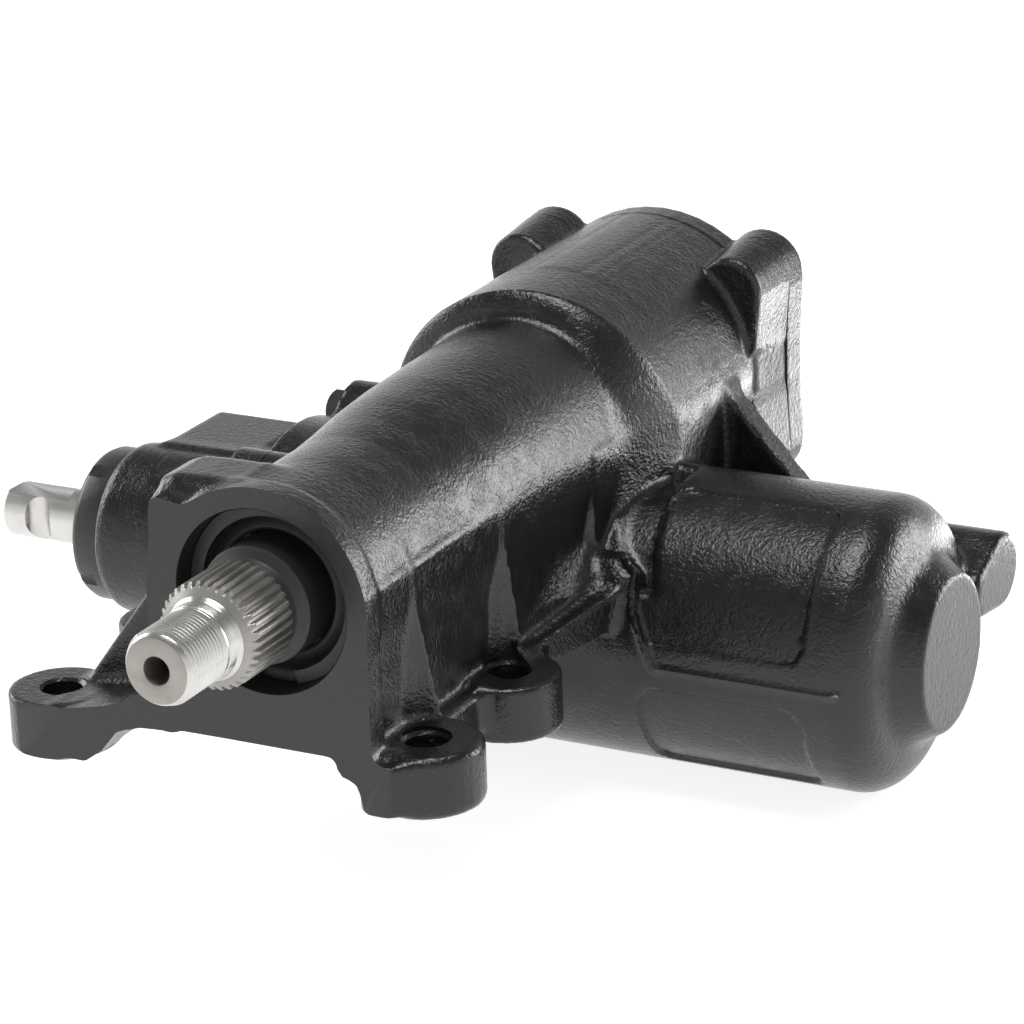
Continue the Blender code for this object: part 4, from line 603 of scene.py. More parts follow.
def housing_forms():
    """All forms of the main casting, with the hollow between its front feet."""
    forms = cylinder_forms() + tube_forms()
    forms += skirt_forms() + end_forms() + foot_forms() + ear_forms()
    hollow = [(-26.0, -70.0), (-26.0, -36.5), (26.0, -36.5), (26.0, -70.0)]
    forms.append(plate("y", hollow, 66.0, 120.0, 3.0, 2.0, True))
    return forms


def cover_forms():
    """Side cover with its ears, adjuster boss and ribs."""
    rim = arc(0.0, 0.0, DRUM_R + 0.3, 0.0, 352.0, 44)
    low_y = COVER_Y - 1.6
    forms = [plate("y", rim, low_y, COVER_BACK_Y, 2.2, 2.0)]
    for x, z in EARS:
        ear = ear_outline(x, z, EAR_R + 1.5)
        forms.append(plate("y", ear, low_y, COVER_BACK_Y, 2.0, 2.0, False, -0.09))
    side = 49.4
    flange = [(-side, -26.0), (side, -26.0), (side, 26.0), (-side, 26.0)]
    forms.append(plate("y", flange, low_y, COVER_BACK_Y - 0.4, 2.0, 2.0, False, -0.12))
    boss = [(310.0, 0.0), (310.0, 17.4), (BOSS_Y - 1.0, 15.8), (BOSS_Y, 15.0), (BOSS_Y, 0.0)]
    forms.append(turned("y", SHAFT, boss, 3.5))
    for turn in range(0, 360, 60):
        a = radians(turn)
        tip = (38.0 * cos(a), BOSS_Y - 6.6, 38.0 * sin(a))
        forms.append(rod_form((12.0 * cos(a), BOSS_Y - 5.2, 12.0 * sin(a)), tip, 3.0, 2.6, 2.4))
    return forms


def spigot_profile():
    """Round part of the cover inside the gear chamber, with its seal groove."""
    return [(266.0, 20.3), (266.0, 35.1), (297.2, 35.1), (297.2, 38.1), (300.4, 38.1),
            (300.4, 35.2), (304.0, 35.2), (304.0, 38.1), (307.0, 38.1), (307.0, 20.3)]


def valve_forms():
    """Valve housing with its flange, taper and port pad."""
    body = [(-73.0, 0.0), (-73.0, 45.0), (-85.6, 45.0), (-87.0, 43.6), (-92.0, 34.5),
            (-101.0, 31.0), (-112.0, 28.7), (-146.2, 28.5), (-148.0, 28.1), (-149.2, 27.2),
            (LOCK_RING_X, 25.9), (LOCK_RING_X, 0.0)]
    pad = soften([(225.0, -46.0), (PORT_PAD_Y, -46.0), (PORT_PAD_Y, -26.6), (225.0, -26.6)], 2.0)
    forms = [turned("x", WORM, body, 3.0)] + flange_lobes(-87.0, -73.0, 1.6)
    forms.append(plate("x", pad, -142.6, -104.0, 4.4, 3.0))
    for y, z in FLANGE_BOLTS:
        seat = arc(y, z, 10.0, 0.0, 350.0, 30)
        forms.append(plate("x", seat, -99.5, -87.0, 1.0, 1.5, True))
    return forms


def new_object(name, mesh):
    """Object in the scene for a mesh, a light or a camera."""
    obj = bpy.data.objects.new(name, mesh)
    bpy.context.collection.objects.link(obj)
    return obj


def placed(name, verts, faces, materials=(), smooth=CREASE):
    """Object from a mesh in drawing millimetres, with its origin at the frame's origin."""
    mesh = bpy.data.meshes.new(name)
    points = (np.asarray(verts, float) + OFFSET) * MM
    mesh.from_pydata(points.tolist(), [], [list(map(int, f)) for f in faces])
    mesh.update()
    mesh.validate()
    obj = new_object(name, mesh)
    for material in materials:
        mesh.materials.append(material)
    shade(obj, smooth)
    return obj


def shade(obj, angle=CREASE):
    """Smooth shading, with the edges above an angle in degrees kept crisp."""
    obj.data.shade_smooth()
    obj.data.set_sharp_from_angle(angle=radians(angle))


def loft(rings):
    """Closed mesh through a loop of rings, each of many points or of a single one."""
    starts = np.cumsum([0] + [len(ring) for ring in rings])
    faces = []
    for k, ring in enumerate(rings):
        after = (k + 1) % len(rings)
        n, m = len(ring), len(rings[after])
        if n == m == 1:
            continue
        for i in range(max(n, m)):
            corners = [starts[k] + i % n, starts[k] + (i + 1) % n,
                       starts[after] + (i + 1) % m, starts[after] + i % m]
            faces.append(list(dict.fromkeys(corners)))
    return np.concatenate(rings), faces


def revolve(axis, centre, profile, seg=96):
    """Turned solid from a closed loop of (along, radius) pairs."""
    a, b, c = AXES[axis]
    rings = []
    for along, radius in profile:
        turn = 2.0 * pi * np.arange(1 if radius < 1e-6 else seg) / seg
        ring = np.zeros((len(turn), 3))
        ring[:, a] = along
        ring[:, b] = centre[0] + radius * np.cos(turn)
        ring[:, c] = centre[1] + radius * np.sin(turn)
        rings.append(ring)
    return loft(rings)


def outward(obj):
    """Turns all faces of a closed mesh outwards."""
    bm = bmesh.new()
    bm.from_mesh(obj.data)
    bmesh.ops.recalc_face_normals(bm, faces=bm.faces)
    bm.to_mesh(obj.data)
    bm.free()
    return obj


def turned_piece(name, axis, centre, profile, materials=(), seg=96):
    """Turned solid with outward faces, from a closed loop of (along, radius) pairs."""
    return outward(placed(name, *revolve(axis, centre, profile, seg), materials, 35.0))


def prism_piece(name, axis, outline, lo, hi, materials=()):
    """Flat outline drawn out along an axis into a closed solid."""
    a, b, c = AXES[axis]
    outline = np.asarray(outline, float)
    n = len(outline)
    verts = np.zeros((2 * n, 3))
    for k, along in enumerate((lo, hi)):
        verts[k * n:(k + 1) * n, a] = along
        verts[k * n:(k + 1) * n, b] = outline[:, 0]
        verts[k * n:(k + 1) * n, c] = outline[:, 1]
    faces = [list(range(n)), list(range(2 * n - 1, n - 1, -1))]
    faces += [[i, i + n, (i + 1) % n + n, (i + 1) % n] for i in range(n)]
    return outward(placed(name, verts, faces, materials, 35.0))


def settle(obj):
    """Makes the result of an object's modifiers its own mesh."""
    graph = bpy.context.evaluated_depsgraph_get()
    mesh = bpy.data.meshes.new_from_object(obj.evaluated_get(graph))
    obj.modifiers.clear()
    old, obj.data = obj.data, mesh
    bpy.data.meshes.remove(old)


def trim(obj, cutters, how="DIFFERENCE", solver="MANIFOLD"):
    """Boolean of a piece with a group of tool solids, which are then removed."""
    for cutter in cutters:
        step = obj.modifiers.new("step", "BOOLEAN")
        step.operation = how
        step.solver = solver
        step.object = cutter
    settle(obj)
    obj.data.materials.clear()
    for cutter in cutters:
        bpy.data.objects.remove(cutter)
    shade(obj)


def rod_tool(axis, centre, lo, hi, radius, seg=72):
    return turned_piece("tool", axis, centre, [(lo, 0.0), (lo, radius), (hi, radius), (hi, 0.0)],
                        (), seg)


def casting(name, forms, low, high, step):
    """Casting whose forms flow into each other, as a closed mesh under the limit of faces."""
    verts, faces = skin(casting_field(forms), low, high, step)
    obj = placed(name, verts, faces)
    triangles = len(faces) * 2
    if triangles > FACE_LIMIT:
        thin = obj.modifiers.new("thin", "DECIMATE")
        thin.ratio = FACE_LIMIT / triangles
        settle(obj)
        shade(obj)
    return obj


def slab(axis, lo, hi, low=(-300.0, -300.0), high=(400.0, 400.0)):
    """Large box between two planes, used to cut a casting flat."""
    (b0, c0), (b1, c1) = low, high
    return prism_piece("tool", axis, [(b0, c0), (b1, c0), (b1, c1), (b0, c1)], lo, hi)


def hole_ring(circle_r, first, lo, hi, radius, seg):
    """Four tools along the worm axis, spread evenly on a circle round it."""
    turns = [radians(90.0 * k + first) for k in range(4)]
    return [rod_tool("x", (WORM[0] + circle_r * cos(a), WORM[1] + circle_r * sin(a)),
                     lo, hi, radius, seg) for a in turns]


def hexagon(radius, first=0.0):
    return arc(0.0, 0.0, radius, first, first + 300.0, 5)


class Shader:
    """Short calls for building one tree of nodes."""

    def __init__(self, tree):
        self.tree = tree
        self.nodes = tree.nodes

    def add(self, kind, inputs=(), **settings):
        node = self.nodes.new(kind)
        for key, value in settings.items():
            setattr(node, key, value)
        for key, value in dict(inputs).items():
            if hasattr(value, "is_output"):
                self.tree.links.new(value, node.inputs[key])
            else:
                node.inputs[key].default_value = value
        return node

    def maths(self, how, a, b=0.0):
        return self.add("ShaderNodeMath", {0: a, 1: b}, operation=how).outputs[0]

    def noise(self, place, scale, detail=3.0, rough=0.5, distortion=0.0):
        return self.add("ShaderNodeTexNoise", {"Vector": place, "Scale": scale, "Detail": detail,
                                               "Roughness": rough, "Distortion": distortion})

    def ramp(self, value, stops):
        node = self.add("ShaderNodeValToRGB", {"Fac": value})
        bar = node.color_ramp
        while len(bar.elements) < len(stops):
            bar.elements.new(0.5)
        for element, (place, tone) in zip(bar.elements, stops):
            element.position = place
            element.color = (*(tone if hasattr(tone, "__len__") else (tone,) * 3), 1.0)
        return node.outputs["Color"]

    def spread(self, value, low, high, out_low, out_high):
        return self.add("ShaderNodeMapRange", {"Value": value, "From Min": low, "From Max": high,
                                               "To Min": out_low, "To Max": out_high}).outputs[0]

    def bump(self, height, distance):
        return self.add("ShaderNodeBump", {"Height": height, "Distance": distance,
                                           "Strength": 1.0}).outputs[0]


def new_material(name):
    material = bpy.data.materials.new(name)
    material.use_nodes = True
    sh = Shader(material.node_tree)
    sh.nodes.clear()
    sh.surface = sh.add("ShaderNodeBsdfPrincipled")
    out = sh.add("ShaderNodeOutputMaterial")
    sh.tree.links.new(sh.surface.outputs[0], out.inputs["Surface"])
    sh.place = sh.add("ShaderNodeTexCoord").outputs["Object"]
    return material, sh


def link(sh, value, socket):
    sh.tree.links.new(value, sh.surface.inputs[socket])


def cast_paint():
    """Gloss black paint over the leathery skin of a sand casting."""
    material, sh = new_material("cast_black_paint")
    warp = sh.noise(sh.place, 160.0, 2.0)
    coarse = sh.noise(sh.place, 620.0, 1.0, 0.5, 0.3).outputs["Fac"]
    grain = sh.noise(sh.place, 1350.0, 2.0, 0.5, 0.5).outputs["Fac"]
    patches = sh.spread(warp.outputs["Fac"], 0.35, 0.65, 0.5, 1.2)
    skin_height = sh.maths("ADD", sh.maths("MULTIPLY", coarse, 0.55),
                           sh.maths("MULTIPLY", grain, 0.45))
    skin_height = sh.maths("SUBTRACT", skin_height, 0.5)
    skin_height = sh.maths("MULTIPLY", skin_height, patches)
    link(sh, sh.bump(skin_height, 0.00040), "Normal")
    tone = sh.ramp(warp.outputs["Fac"], [(0.3, (0.0060, 0.0060, 0.0066)),
                                         (0.7, (0.0090, 0.0090, 0.0096))])
    link(sh, tone, "Base Color")
    link(sh, sh.spread(grain, 0.3, 0.7, 0.17, 0.27), "Roughness")
    sh.surface.inputs["IOR"].default_value = 1.5
    return material


def smooth_paint():
    """The same paint where it covers machined faces: flat, with fine orange peel."""
    material, sh = new_material("machined_black_paint")
    peel = sh.noise(sh.place, 420.0, 2.0, 0.4).outputs["Fac"]
    fine = sh.noise(sh.place, 2600.0, 1.0).outputs["Fac"]
    height = sh.maths("ADD", peel, sh.maths("MULTIPLY", fine, 0.10))
    link(sh, sh.bump(height, 0.00009), "Normal")
    tone = sh.ramp(peel, [(0.3, (0.0125, 0.0125, 0.0135)), (0.7, (0.0160, 0.0160, 0.0170))])
    link(sh, tone, "Base Color")
    link(sh, sh.spread(fine, 0.3, 0.7, 0.30, 0.40), "Roughness")
    return material


def turned_metal(name, axis, centre, colour, rough, dull=0.0):
    """Metal with the fine rings that a lathe leaves, round the given axis."""
    material, sh = new_material(name)
    a, b, c = AXES[axis]
    shift = [0.0, 0.0, 0.0]
    shift[b] = -(centre[0] + OFFSET[b]) * MM
    shift[c] = -(centre[1] + OFFSET[c]) * MM
    moved = sh.add("ShaderNodeVectorMath", {0: sh.place, 1: shift}, operation="ADD").outputs[0]
    parts = sh.add("ShaderNodeSeparateXYZ", {0: moved})
    u, v = parts.outputs[b], parts.outputs[c]
    square = sh.maths("ADD", sh.maths("MULTIPLY", u, u), sh.maths("MULTIPLY", v, v))
    rings = sh.add("ShaderNodeCombineXYZ", {0: sh.maths("SQRT", square), 1: parts.outputs[a]})
    lines = sh.noise(rings.outputs[0], 1800.0, 4.0, 0.62).outputs["Fac"]
    cloud = sh.noise(sh.place, 90.0, 3.0).outputs["Fac"]
    speck = sh.noise(sh.place, 2300.0, 1.0).outputs["Fac"]
    link(sh, sh.bump(lines, 0.000012), "Normal")
    low = tuple(x * (0.86 - dull) for x in colour)
    link(sh, sh.ramp(cloud, [(0.3, low), (0.68, colour)]), "Base Color")
    stains = sh.maths("ADD", cloud, sh.maths("MULTIPLY", speck, 0.5))
    link(sh, sh.spread(stains, 0.45, 1.05, rough * 0.82, rough * 1.2), "Roughness")
    sh.surface.inputs["Metallic"].default_value = 1.0
    return material


def plain_finish(name, colour, rough, metallic=0.0, grain=900.0, depth=0.00003):
    """Finish with a faint grain and soft changes of tone."""
    material, sh = new_material(name)
    cloud = sh.noise(sh.place, 110.0, 3.0).outputs["Fac"]
    grit = sh.noise(sh.place, grain, 3.0, 0.6).outputs["Fac"]
    link(sh, sh.bump(grit, depth), "Normal")
    low = tuple(x * 0.78 for x in colour)
    link(sh, sh.ramp(cloud, [(0.3, low), (0.7, colour)]), "Base Color")
    link(sh, sh.spread(grit, 0.3, 0.7, rough * 0.85, rough * 1.15), "Roughness")
    sh.surface.inputs["Metallic"].default_value = metallic
    return material


def stage_material():
    """Pale floor that takes a soft shadow."""
    material, sh = new_material("pale_floor")
    cloud = sh.noise(sh.place, 3.0, 2.0).outputs["Fac"]
    link(sh, sh.ramp(cloud, [(0.3, (0.50, 0.50, 0.50)), (0.7, (0.52, 0.52, 0.52))]), "Base Color")
    sh.surface.inputs["Roughness"].default_value = 0.9
    sh.surface.inputs["Specular IOR Level"].default_value = 0.0
    sh.surface.inputs["Emission Color"].default_value = (1.0, 1.0, 1.0, 1.0)
    sh.surface.inputs["Emission Strength"].default_value = FLOOR_GLOW
    return material


def fit(obj, body, *nodes, slot):
    """Ties a piece to its body and hides the CAD nodes it stands for; its slot is not used."""
    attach(obj, body)
    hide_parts(*nodes)


def paint_faces(obj, materials, rules, everything=0):
    """Gives faces the finish of the first rule that fits their centre and normal."""
    mesh = obj.data
    for material in materials:
        mesh.materials.append(material)
    n = len(mesh.polygons)
    centre, normal = np.empty(3 * n), np.empty(3 * n)
    mesh.polygons.foreach_get("center", centre)
    mesh.polygons.foreach_get("normal", normal)
    centre = centre.reshape(-1, 3) / MM - OFFSET
    normal = normal.reshape(-1, 3)
    index = np.full(n, everything, np.int32)
    for slot, rule in reversed(rules):
        index[rule(centre, normal)] = slot
    mesh.polygons.foreach_set("material_index", index)
    mesh.update()


def flat_at(axis, at, sense, room=0.1, square=0.95):
    """Rule for faces near one plane square to an axis that look one way along it."""
    a = AXES[axis][0]
    return lambda p, n: (np.abs(p[:, a] - at) < room) & (n[:, a] * sense > square)


def in_bore(axis, centre, radius, limit, sense):
    """Rule for faces of a bore, on one side of a plane square to its axis."""
    a, b, c = AXES[axis]

    def rule(p, n):
        inwards = n[:, b] * (p[:, b] - centre[0]) + n[:, c] * (p[:, c] - centre[1]) < 1.0
        return (p[:, a] * sense < limit * sense) & (axis_radius(p, axis, centre) < radius) & inwards

    return rule


def main_housing(mats):
    """Main casting with its machined bores, joint faces and bolt holes."""
    housing = casting("housing_casting", housing_forms(), (-100, 50, -108), (146, 310, 50), 1.15)
    bore = [(44.0, 0.0), (44.0, 28.1), (53.6, 28.1), (55.0, SEAL_BORE_R),
            (SEAL_BORE_TO_Y, SEAL_BORE_R), (SEAL_BORE_TO_Y, SHOULDER_BORE_R),
            (83.0, SHOULDER_BORE_R), (83.0, BEARING_BORE_R), (111.0, BEARING_BORE_R),
            (111.0, SHAFT_BORE_R), (166.0, SHAFT_BORE_R), (166.0, BEARING_BORE_R),
            (194.0, BEARING_BORE_R), (194.0, SHOULDER_BORE_R), (198.5, SHOULDER_BORE_R),
            (198.5, 0.0)]
    chamber = [(196.5, 0.0), (196.5, CHAMBER_MOUTH_R), (219.0, CHAMBER_MOUTH_R),
               (222.5, CHAMBER_R), (320.0, CHAMBER_R), (320.0, 0.0)]
    worm_low, worm_high = (WORM[0] - 60.0, -140.0), (WORM[0] + 60.0, 20.0)
    tools = [slab("y", 0.0, FRONT_Y), slab("y", JOINT_Y, 400.0),
             slab("x", -120.0, VALVE_JOINT_X, worm_low, worm_high),
             turned_piece("tool", "y", SHAFT, bore, (), 128),
             rod_tool("x", WORM, -90.0, 114.0, CYLINDER_BORE_R, 128),
             turned_piece("tool", "y", SHAFT, chamber, (), 128)]
    for x, y, radius in FEET.values():
        tools.append(turned_piece("tool", "z", (x, y), [
            (-70.0, 0.0), (-70.0, radius), (FOOT_TOP - 0.9, radius), (FOOT_TOP + 0.2, radius + 1.0),
            (-37.0, radius + 1.0), (-37.0, 0.0)], (), 48))
    tools += [rod_tool("y", place, 289.0, 320.0, 5.2, 40) for place in EARS]
    tools += [rod_tool("x", place, -90.0, -65.0, 4.4, 32) for place in FLANGE_BOLTS]
    trim(housing, tools)
    paint_faces(housing, [mats["cast"], mats["smooth"], mats["bare"]], [
        (1, flat_at("y", FRONT_Y, -1)),
        (1, flat_at("y", JOINT_Y, 1)),
        (1, flat_at("x", VALVE_JOINT_X, -1)),
        (1, in_bore("y", SHAFT, 28.3, SEAL_BORE_TO_Y + 0.2, 1)),
        (2, in_bore("y", SHAFT, SEAL_BORE_R + 0.2, 199.0, 1)),
        (2, in_bore("x", WORM, CYLINDER_BORE_R + 0.1, 114.3, 1)),
        (2, in_bore("y", SHAFT, CHAMBER_R + 0.1, 196.0, -1)),
    ])
    fit(housing, "gearbox", "main_housing", slot="black_paint")


def side_cover(mats):
    """Side cover with its spigot, adjuster hole and bolt seats."""
    cover = casting("cover_casting", cover_forms(), (-56, 303, -54), (56, 326, 54), 1.1)
    trim(cover, [slab("y", 200.0, COVER_Y)])
    spigot = turned_piece("tool", "y", SHAFT, spigot_profile(), (), 128)
    trim(cover, [spigot], "UNION")
    tools = [rod_tool("y", SHAFT, 299.0, 330.0, 5.3, 48),
             rod_tool("y", SHAFT, 260.0, 303.0, 20.2, 96)]
    for place in EARS:
        tools.append(rod_tool("y", place, 300.0, 330.0, 5.3, 40))
        tools.append(rod_tool("y", place, BOLT_SEAT_Y, 330.0, 10.2, 48))
    trim(cover, tools)
    paint_faces(cover, [mats["cast"], mats["smooth"], mats["bare"]], [
        (2, lambda p, n: (p[:, 1] < COVER_Y + 0.3) & (axis_radius(p, "y", SHAFT) < 38.3)),
        (1, lambda p, n: (p[:, 1] < COVER_Y + 0.3) & (n[:, 1] < -0.9)),
        (1, lambda p, n: (p[:, 1] > BOSS_Y - 0.3) & (n[:, 1] > 0.95)),
        (1, flat_at("y", BOLT_SEAT_Y, 1, 0.2)),
    ])
    fit(cover, "gearbox", "side_cover", slot="black_paint")


def valve_housing(mats):
    """Valve housing with its bores, ports and bolt holes."""
    valve = casting("valve_casting", valve_forms(), (-156, 168, -106), (-70, 274, -2), 1.1)
    tools = [slab("x", VALVE_JOINT_X - 0.3, 0.0),
             rod_tool("x", WORM, BEARING_PLANE_X - 1.0, -60.0, POCKET_R, 96),
             rod_tool("x", WORM, PLUG_PLANE_X, BEARING_PLANE_X, VALVE_BORE_R, 96),
             rod_tool("x", WORM, -160.0, PLUG_PLANE_X, PLUG_BORE_R, 96)]
    mouth = [(252.0, 0.0), (252.0, 8.0), (261.2, 8.0), (262.4, 9.4), (270.0, 9.4), (270.0, 0.0)]
    for x in PORTS:
        tools.append(turned_piece("tool", "y", (x, PORT_Z), mouth, (), 48))
        tools.append(rod_tool("y", (x, PORT_Z), 234.0, 254.0, 2.6, 24))
    tools += [rod_tool("x", place, -100.0, -60.0, 4.7, 32) for place in FLANGE_BOLTS]
    trim(valve, tools)
    paint_faces(valve, [mats[key] for key in ("cast", "smooth", "bare", "painted_highlight")], [
        (2, lambda p, n: axis_radius(p, "x", WORM) < POCKET_R + 0.1),
        # Faces of the rounded rim by the lock ring take slot 3, a light grey painted highlight.
        (3, lambda p, n: (p[:, 0] < LOCK_RING_X + 1.5) & (axis_radius(p, "x", WORM) > 25.8)),
        (1, lambda p, n: (p[:, 1] > PORT_PAD_Y - 0.4) & (n[:, 1] > 0.95)),
        (1, lambda p, n: (p[:, 0] > VALVE_JOINT_X - 0.6) & (n[:, 0] > 0.95)),
        (1, lambda p, n: (p[:, 0] < LOCK_RING_X + 0.4) & (n[:, 0] < -0.9)),
    ])
    fit(valve, "gearbox", "valve_housing", slot="black_paint")


def swept_rows(axis_rows, turns, radius_at, bore=0.0):
    """Closed skin of a bar along Y: one ring of points per row, closed onto its axis or bore."""
    rings = []
    for y in axis_rows:
        radius = radius_at(y, turns)
        rings.append([(r * cos(t), y, r * sin(t)) for r, t in zip(radius, turns)])
    for y in (axis_rows[-1], axis_rows[0]):
        ends = [(bore * cos(t), y, bore * sin(t)) for t in turns]
        rings.append(ends if bore else ends[:1])
    return loft(rings)


def threaded_end(materials):
    """Screw thread of the output shaft: one helical ridge with flat crests."""
    pitch, depth, crest_r = 1.5, 1.0, 11.1
    start, stop, bore = 1.2, 19.6, 7.6
    turns = 2.0 * pi * np.arange(84) / 84
    rows = np.arange(start, stop + 0.01, pitch / 8.0)

    def radius_at(y, t):
        phase = (y / pitch - t / (2.0 * pi)) % 1.0
        ridge = np.clip(np.abs(phase - 0.5) * 2.0 * 1.35 - 0.12, 0.0, 1.0)
        fade = min(1.0, max(0.0, (stop - 0.3 - y) / 1.5))
        return np.minimum(crest_r - depth * ridge * fade, 9.7 + y - start)

    return outward(placed("thread", *swept_rows(rows, turns, radius_at, bore), materials, 50.0))


def splined_part(materials):
    """Splines of the output shaft, with chamfered front ends and a run-out behind."""
    count, tip, root = 36, 15.875, 14.5
    steps = np.radians([-5.0, -3.5, -2.3, -1.3, 0.0, 1.3, 2.3, 3.5])
    height = np.array([0.0, 0.02, 0.62, 0.97, 1.0, 0.97, 0.62, 0.02])
    turns = np.concatenate([steps + 2.0 * pi / count * k for k in range(count)])
    bar = root + (tip - root) * np.tile(height, count)
    rows = [24.6, 25.3, 26.0, 26.8, 27.6, 28.4, 30.0, 34.0, 38.0, 42.0, 44.5, 45.6, 46.2, 46.5]

    def radius_at(y, _):
        front = 12.6 + (y - rows[0]) * 1.15
        back = 14.2 + (rows[-1] - y) * 1.6
        return np.minimum(bar, min(front, back))

    return outward(placed("splines", *swept_rows(rows, turns, radius_at), materials, 28.0))


def rear_part(node, axis, cut):
    """Part of a CAD shaft beyond a plane square to its axis, as an object of its own."""
    a = AXES[axis][0]
    at, way = np.zeros(3), np.zeros(3)
    at[a], way[a] = (cut + OFFSET[a]) * MM, -1.0
    mesh = bpy.data.objects[node].data.copy()
    bm = bmesh.new()
    bm.from_mesh(mesh)
    bmesh.ops.bisect_plane(bm, geom=bm.verts[:] + bm.edges[:] + bm.faces[:],
                           plane_co=at, plane_no=way, clear_outer=True)
    bm.to_mesh(mesh)
    bm.free()
    mesh.materials.clear()
    return new_object("rear", mesh)


def sector_shaft(mats):
    """Output shaft: centre-drilled end, thread, splines and the ground journal; the centre hole and
    the collar inside the bore carry painted shade.
    """
    metals = [mats[key] for key in ("thread", "spline", "journal", "sawn", "painted_shade_hole", "painted_shade_collar")]
    nose = turned_piece("shaft_nose", "y", SHAFT, [
        (9.6, 0.0), (8.6, 1.6), (4.6, 1.7), (0.9, 3.8), (0.2, 4.1), (0.0, 4.4), (0.0, 9.2),
        (0.2, 9.6), (1.2, 10.3), (3.0, 9.0), (19.0, 9.0), (19.8, 11.1), (20.2, 11.35),
        (23.2, 11.35), (23.9, 11.7), (24.5, 12.4), (25.2, 12.6), (40.0, 12.6), (40.0, 0.0)],
        metals)
    collar = turned_piece("shaft_collar", "y", SHAFT, [
        (40.0, 0.0), (40.0, 14.2), (49.6, 14.2), (50.2, 14.6), (51.0, 16.6), (51.8, 17.45),
        (80.0, 17.45), (80.0, 0.0)], metals)
    thread = threaded_end(metals)
    splines = splined_part(metals)
    back = rear_part("sector_shaft", "y", 75.0)
    # The collar takes slot 5, a near-black painted shade where it sits inside the bore.
    for part, index in ((collar, 5), (thread, 0), (splines, 1), (back, 2)):
        part.data.polygons.foreach_set("material_index", [index] * len(part.data.polygons))
    paint_faces(nose, (), [
        # Faces in the centre-drilled hole take slot 4, a dark painted shade of that hole.
        (4, lambda p, n: (axis_radius(p, "y", SHAFT) < 4.0) & (p[:, 1] < 12.0)),
        (3, lambda p, n: (axis_radius(p, "y", SHAFT) < 9.4) & (p[:, 1] < 0.25)),
    ], 2)
    shaft = joined("output_shaft", [nose, collar, thread, splines, back])
    fit(shaft, "sector", "sector_shaft", slot="machined_steel")


def joined(name, parts):
    """One object from several meshes, with the finishes of the first."""
    bm = bmesh.new()
    for part in parts:
        bm.from_mesh(part.data)
    mesh = bpy.data.meshes.new(name)
    bm.to_mesh(mesh)
    bm.free()
    for material in parts[0].data.materials:
        mesh.materials.append(material)
    for part in parts:
        bpy.data.objects.remove(part)
    return new_object(name, mesh)


def input_shaft(mats):
    """Input shaft with its milled flat and cross notch, and the spool behind."""
    end, flat_z, shaft_r = -198.5, WORM[1] + 7.4, 9.5
    shaft = turned_piece("input_stub", "x", WORM, [
        (end, 0.0), (end, 2.4), (end, 8.2), (end + 0.2, 8.5), (end + 1.3, shaft_r),
        (-133.0, shaft_r), (-131.5, 11.8), (-115.0, 11.8), (-115.0, 0.0)])
    flat = slab("x", end - 5.0, end + 25.0, (200.0, flat_z), (244.0, WORM[1] + 20.0))
    notch = rod_tool("z", (end + 14.5, WORM[0] - 11.1), -80.0, -30.0, 5.2, 64)
    trim(shaft, [flat, notch], solver="EXACT")
    paint_faces(shaft, [mats["input"], mats["milled"], mats["journal"]], [
        (1, flat_at("z", flat_z, 1, square=0.9)),
        (1, lambda p, n: (axis_radius(p, "x", WORM) < shaft_r - 0.2) & (p[:, 0] > end + 1.0)),
    ])
    back = rear_part("input_shaft", "x", -125.0)
    back.data.polygons.foreach_set("material_index", [2] * len(back.data.polygons))
    stub = joined("input_stub_shaft", [shaft, back])
    fit(stub, "input", "input_shaft", slot="machined_steel")


def bolt_mesh(name, head_r, rim_r, shank_r, length, material):
    """Flanged hexagon bolt along Y, its head's underside at y = 0 and shank at minus y."""
    bolt = turned_piece(name, "y", SHAFT, [
        (-length, 0.0), (-length, shank_r - 0.8), (1.0 - length, shank_r), (0.5, shank_r),
        (0.0, shank_r), (0.0, rim_r - 0.3), (0.3, rim_r), (1.0, rim_r), (2.2, head_r - 0.4),
        (2.2, 0.0)], (), 56)
    top, across = 7.0, head_r * cos(pi / 6.0)
    head = prism_piece("tool", "y", hexagon(head_r, 20.0), 1.0, top)
    dome = turned_piece("tool", "y", SHAFT, [
        (0.0, 0.0), (0.0, head_r + 1.0), (5.6, head_r + 0.4), (top, across - 0.6), (top, 0.0)],
        (), 56)
    trim(head, [dome], "INTERSECT", "EXACT")
    trim(bolt, [head], "UNION", "EXACT")
    shade(bolt, 32.0)
    bolt.data.transform(Matrix.Translation(-Vector(OFFSET * MM)))
    bolt.data.materials.append(material)
    return bolt


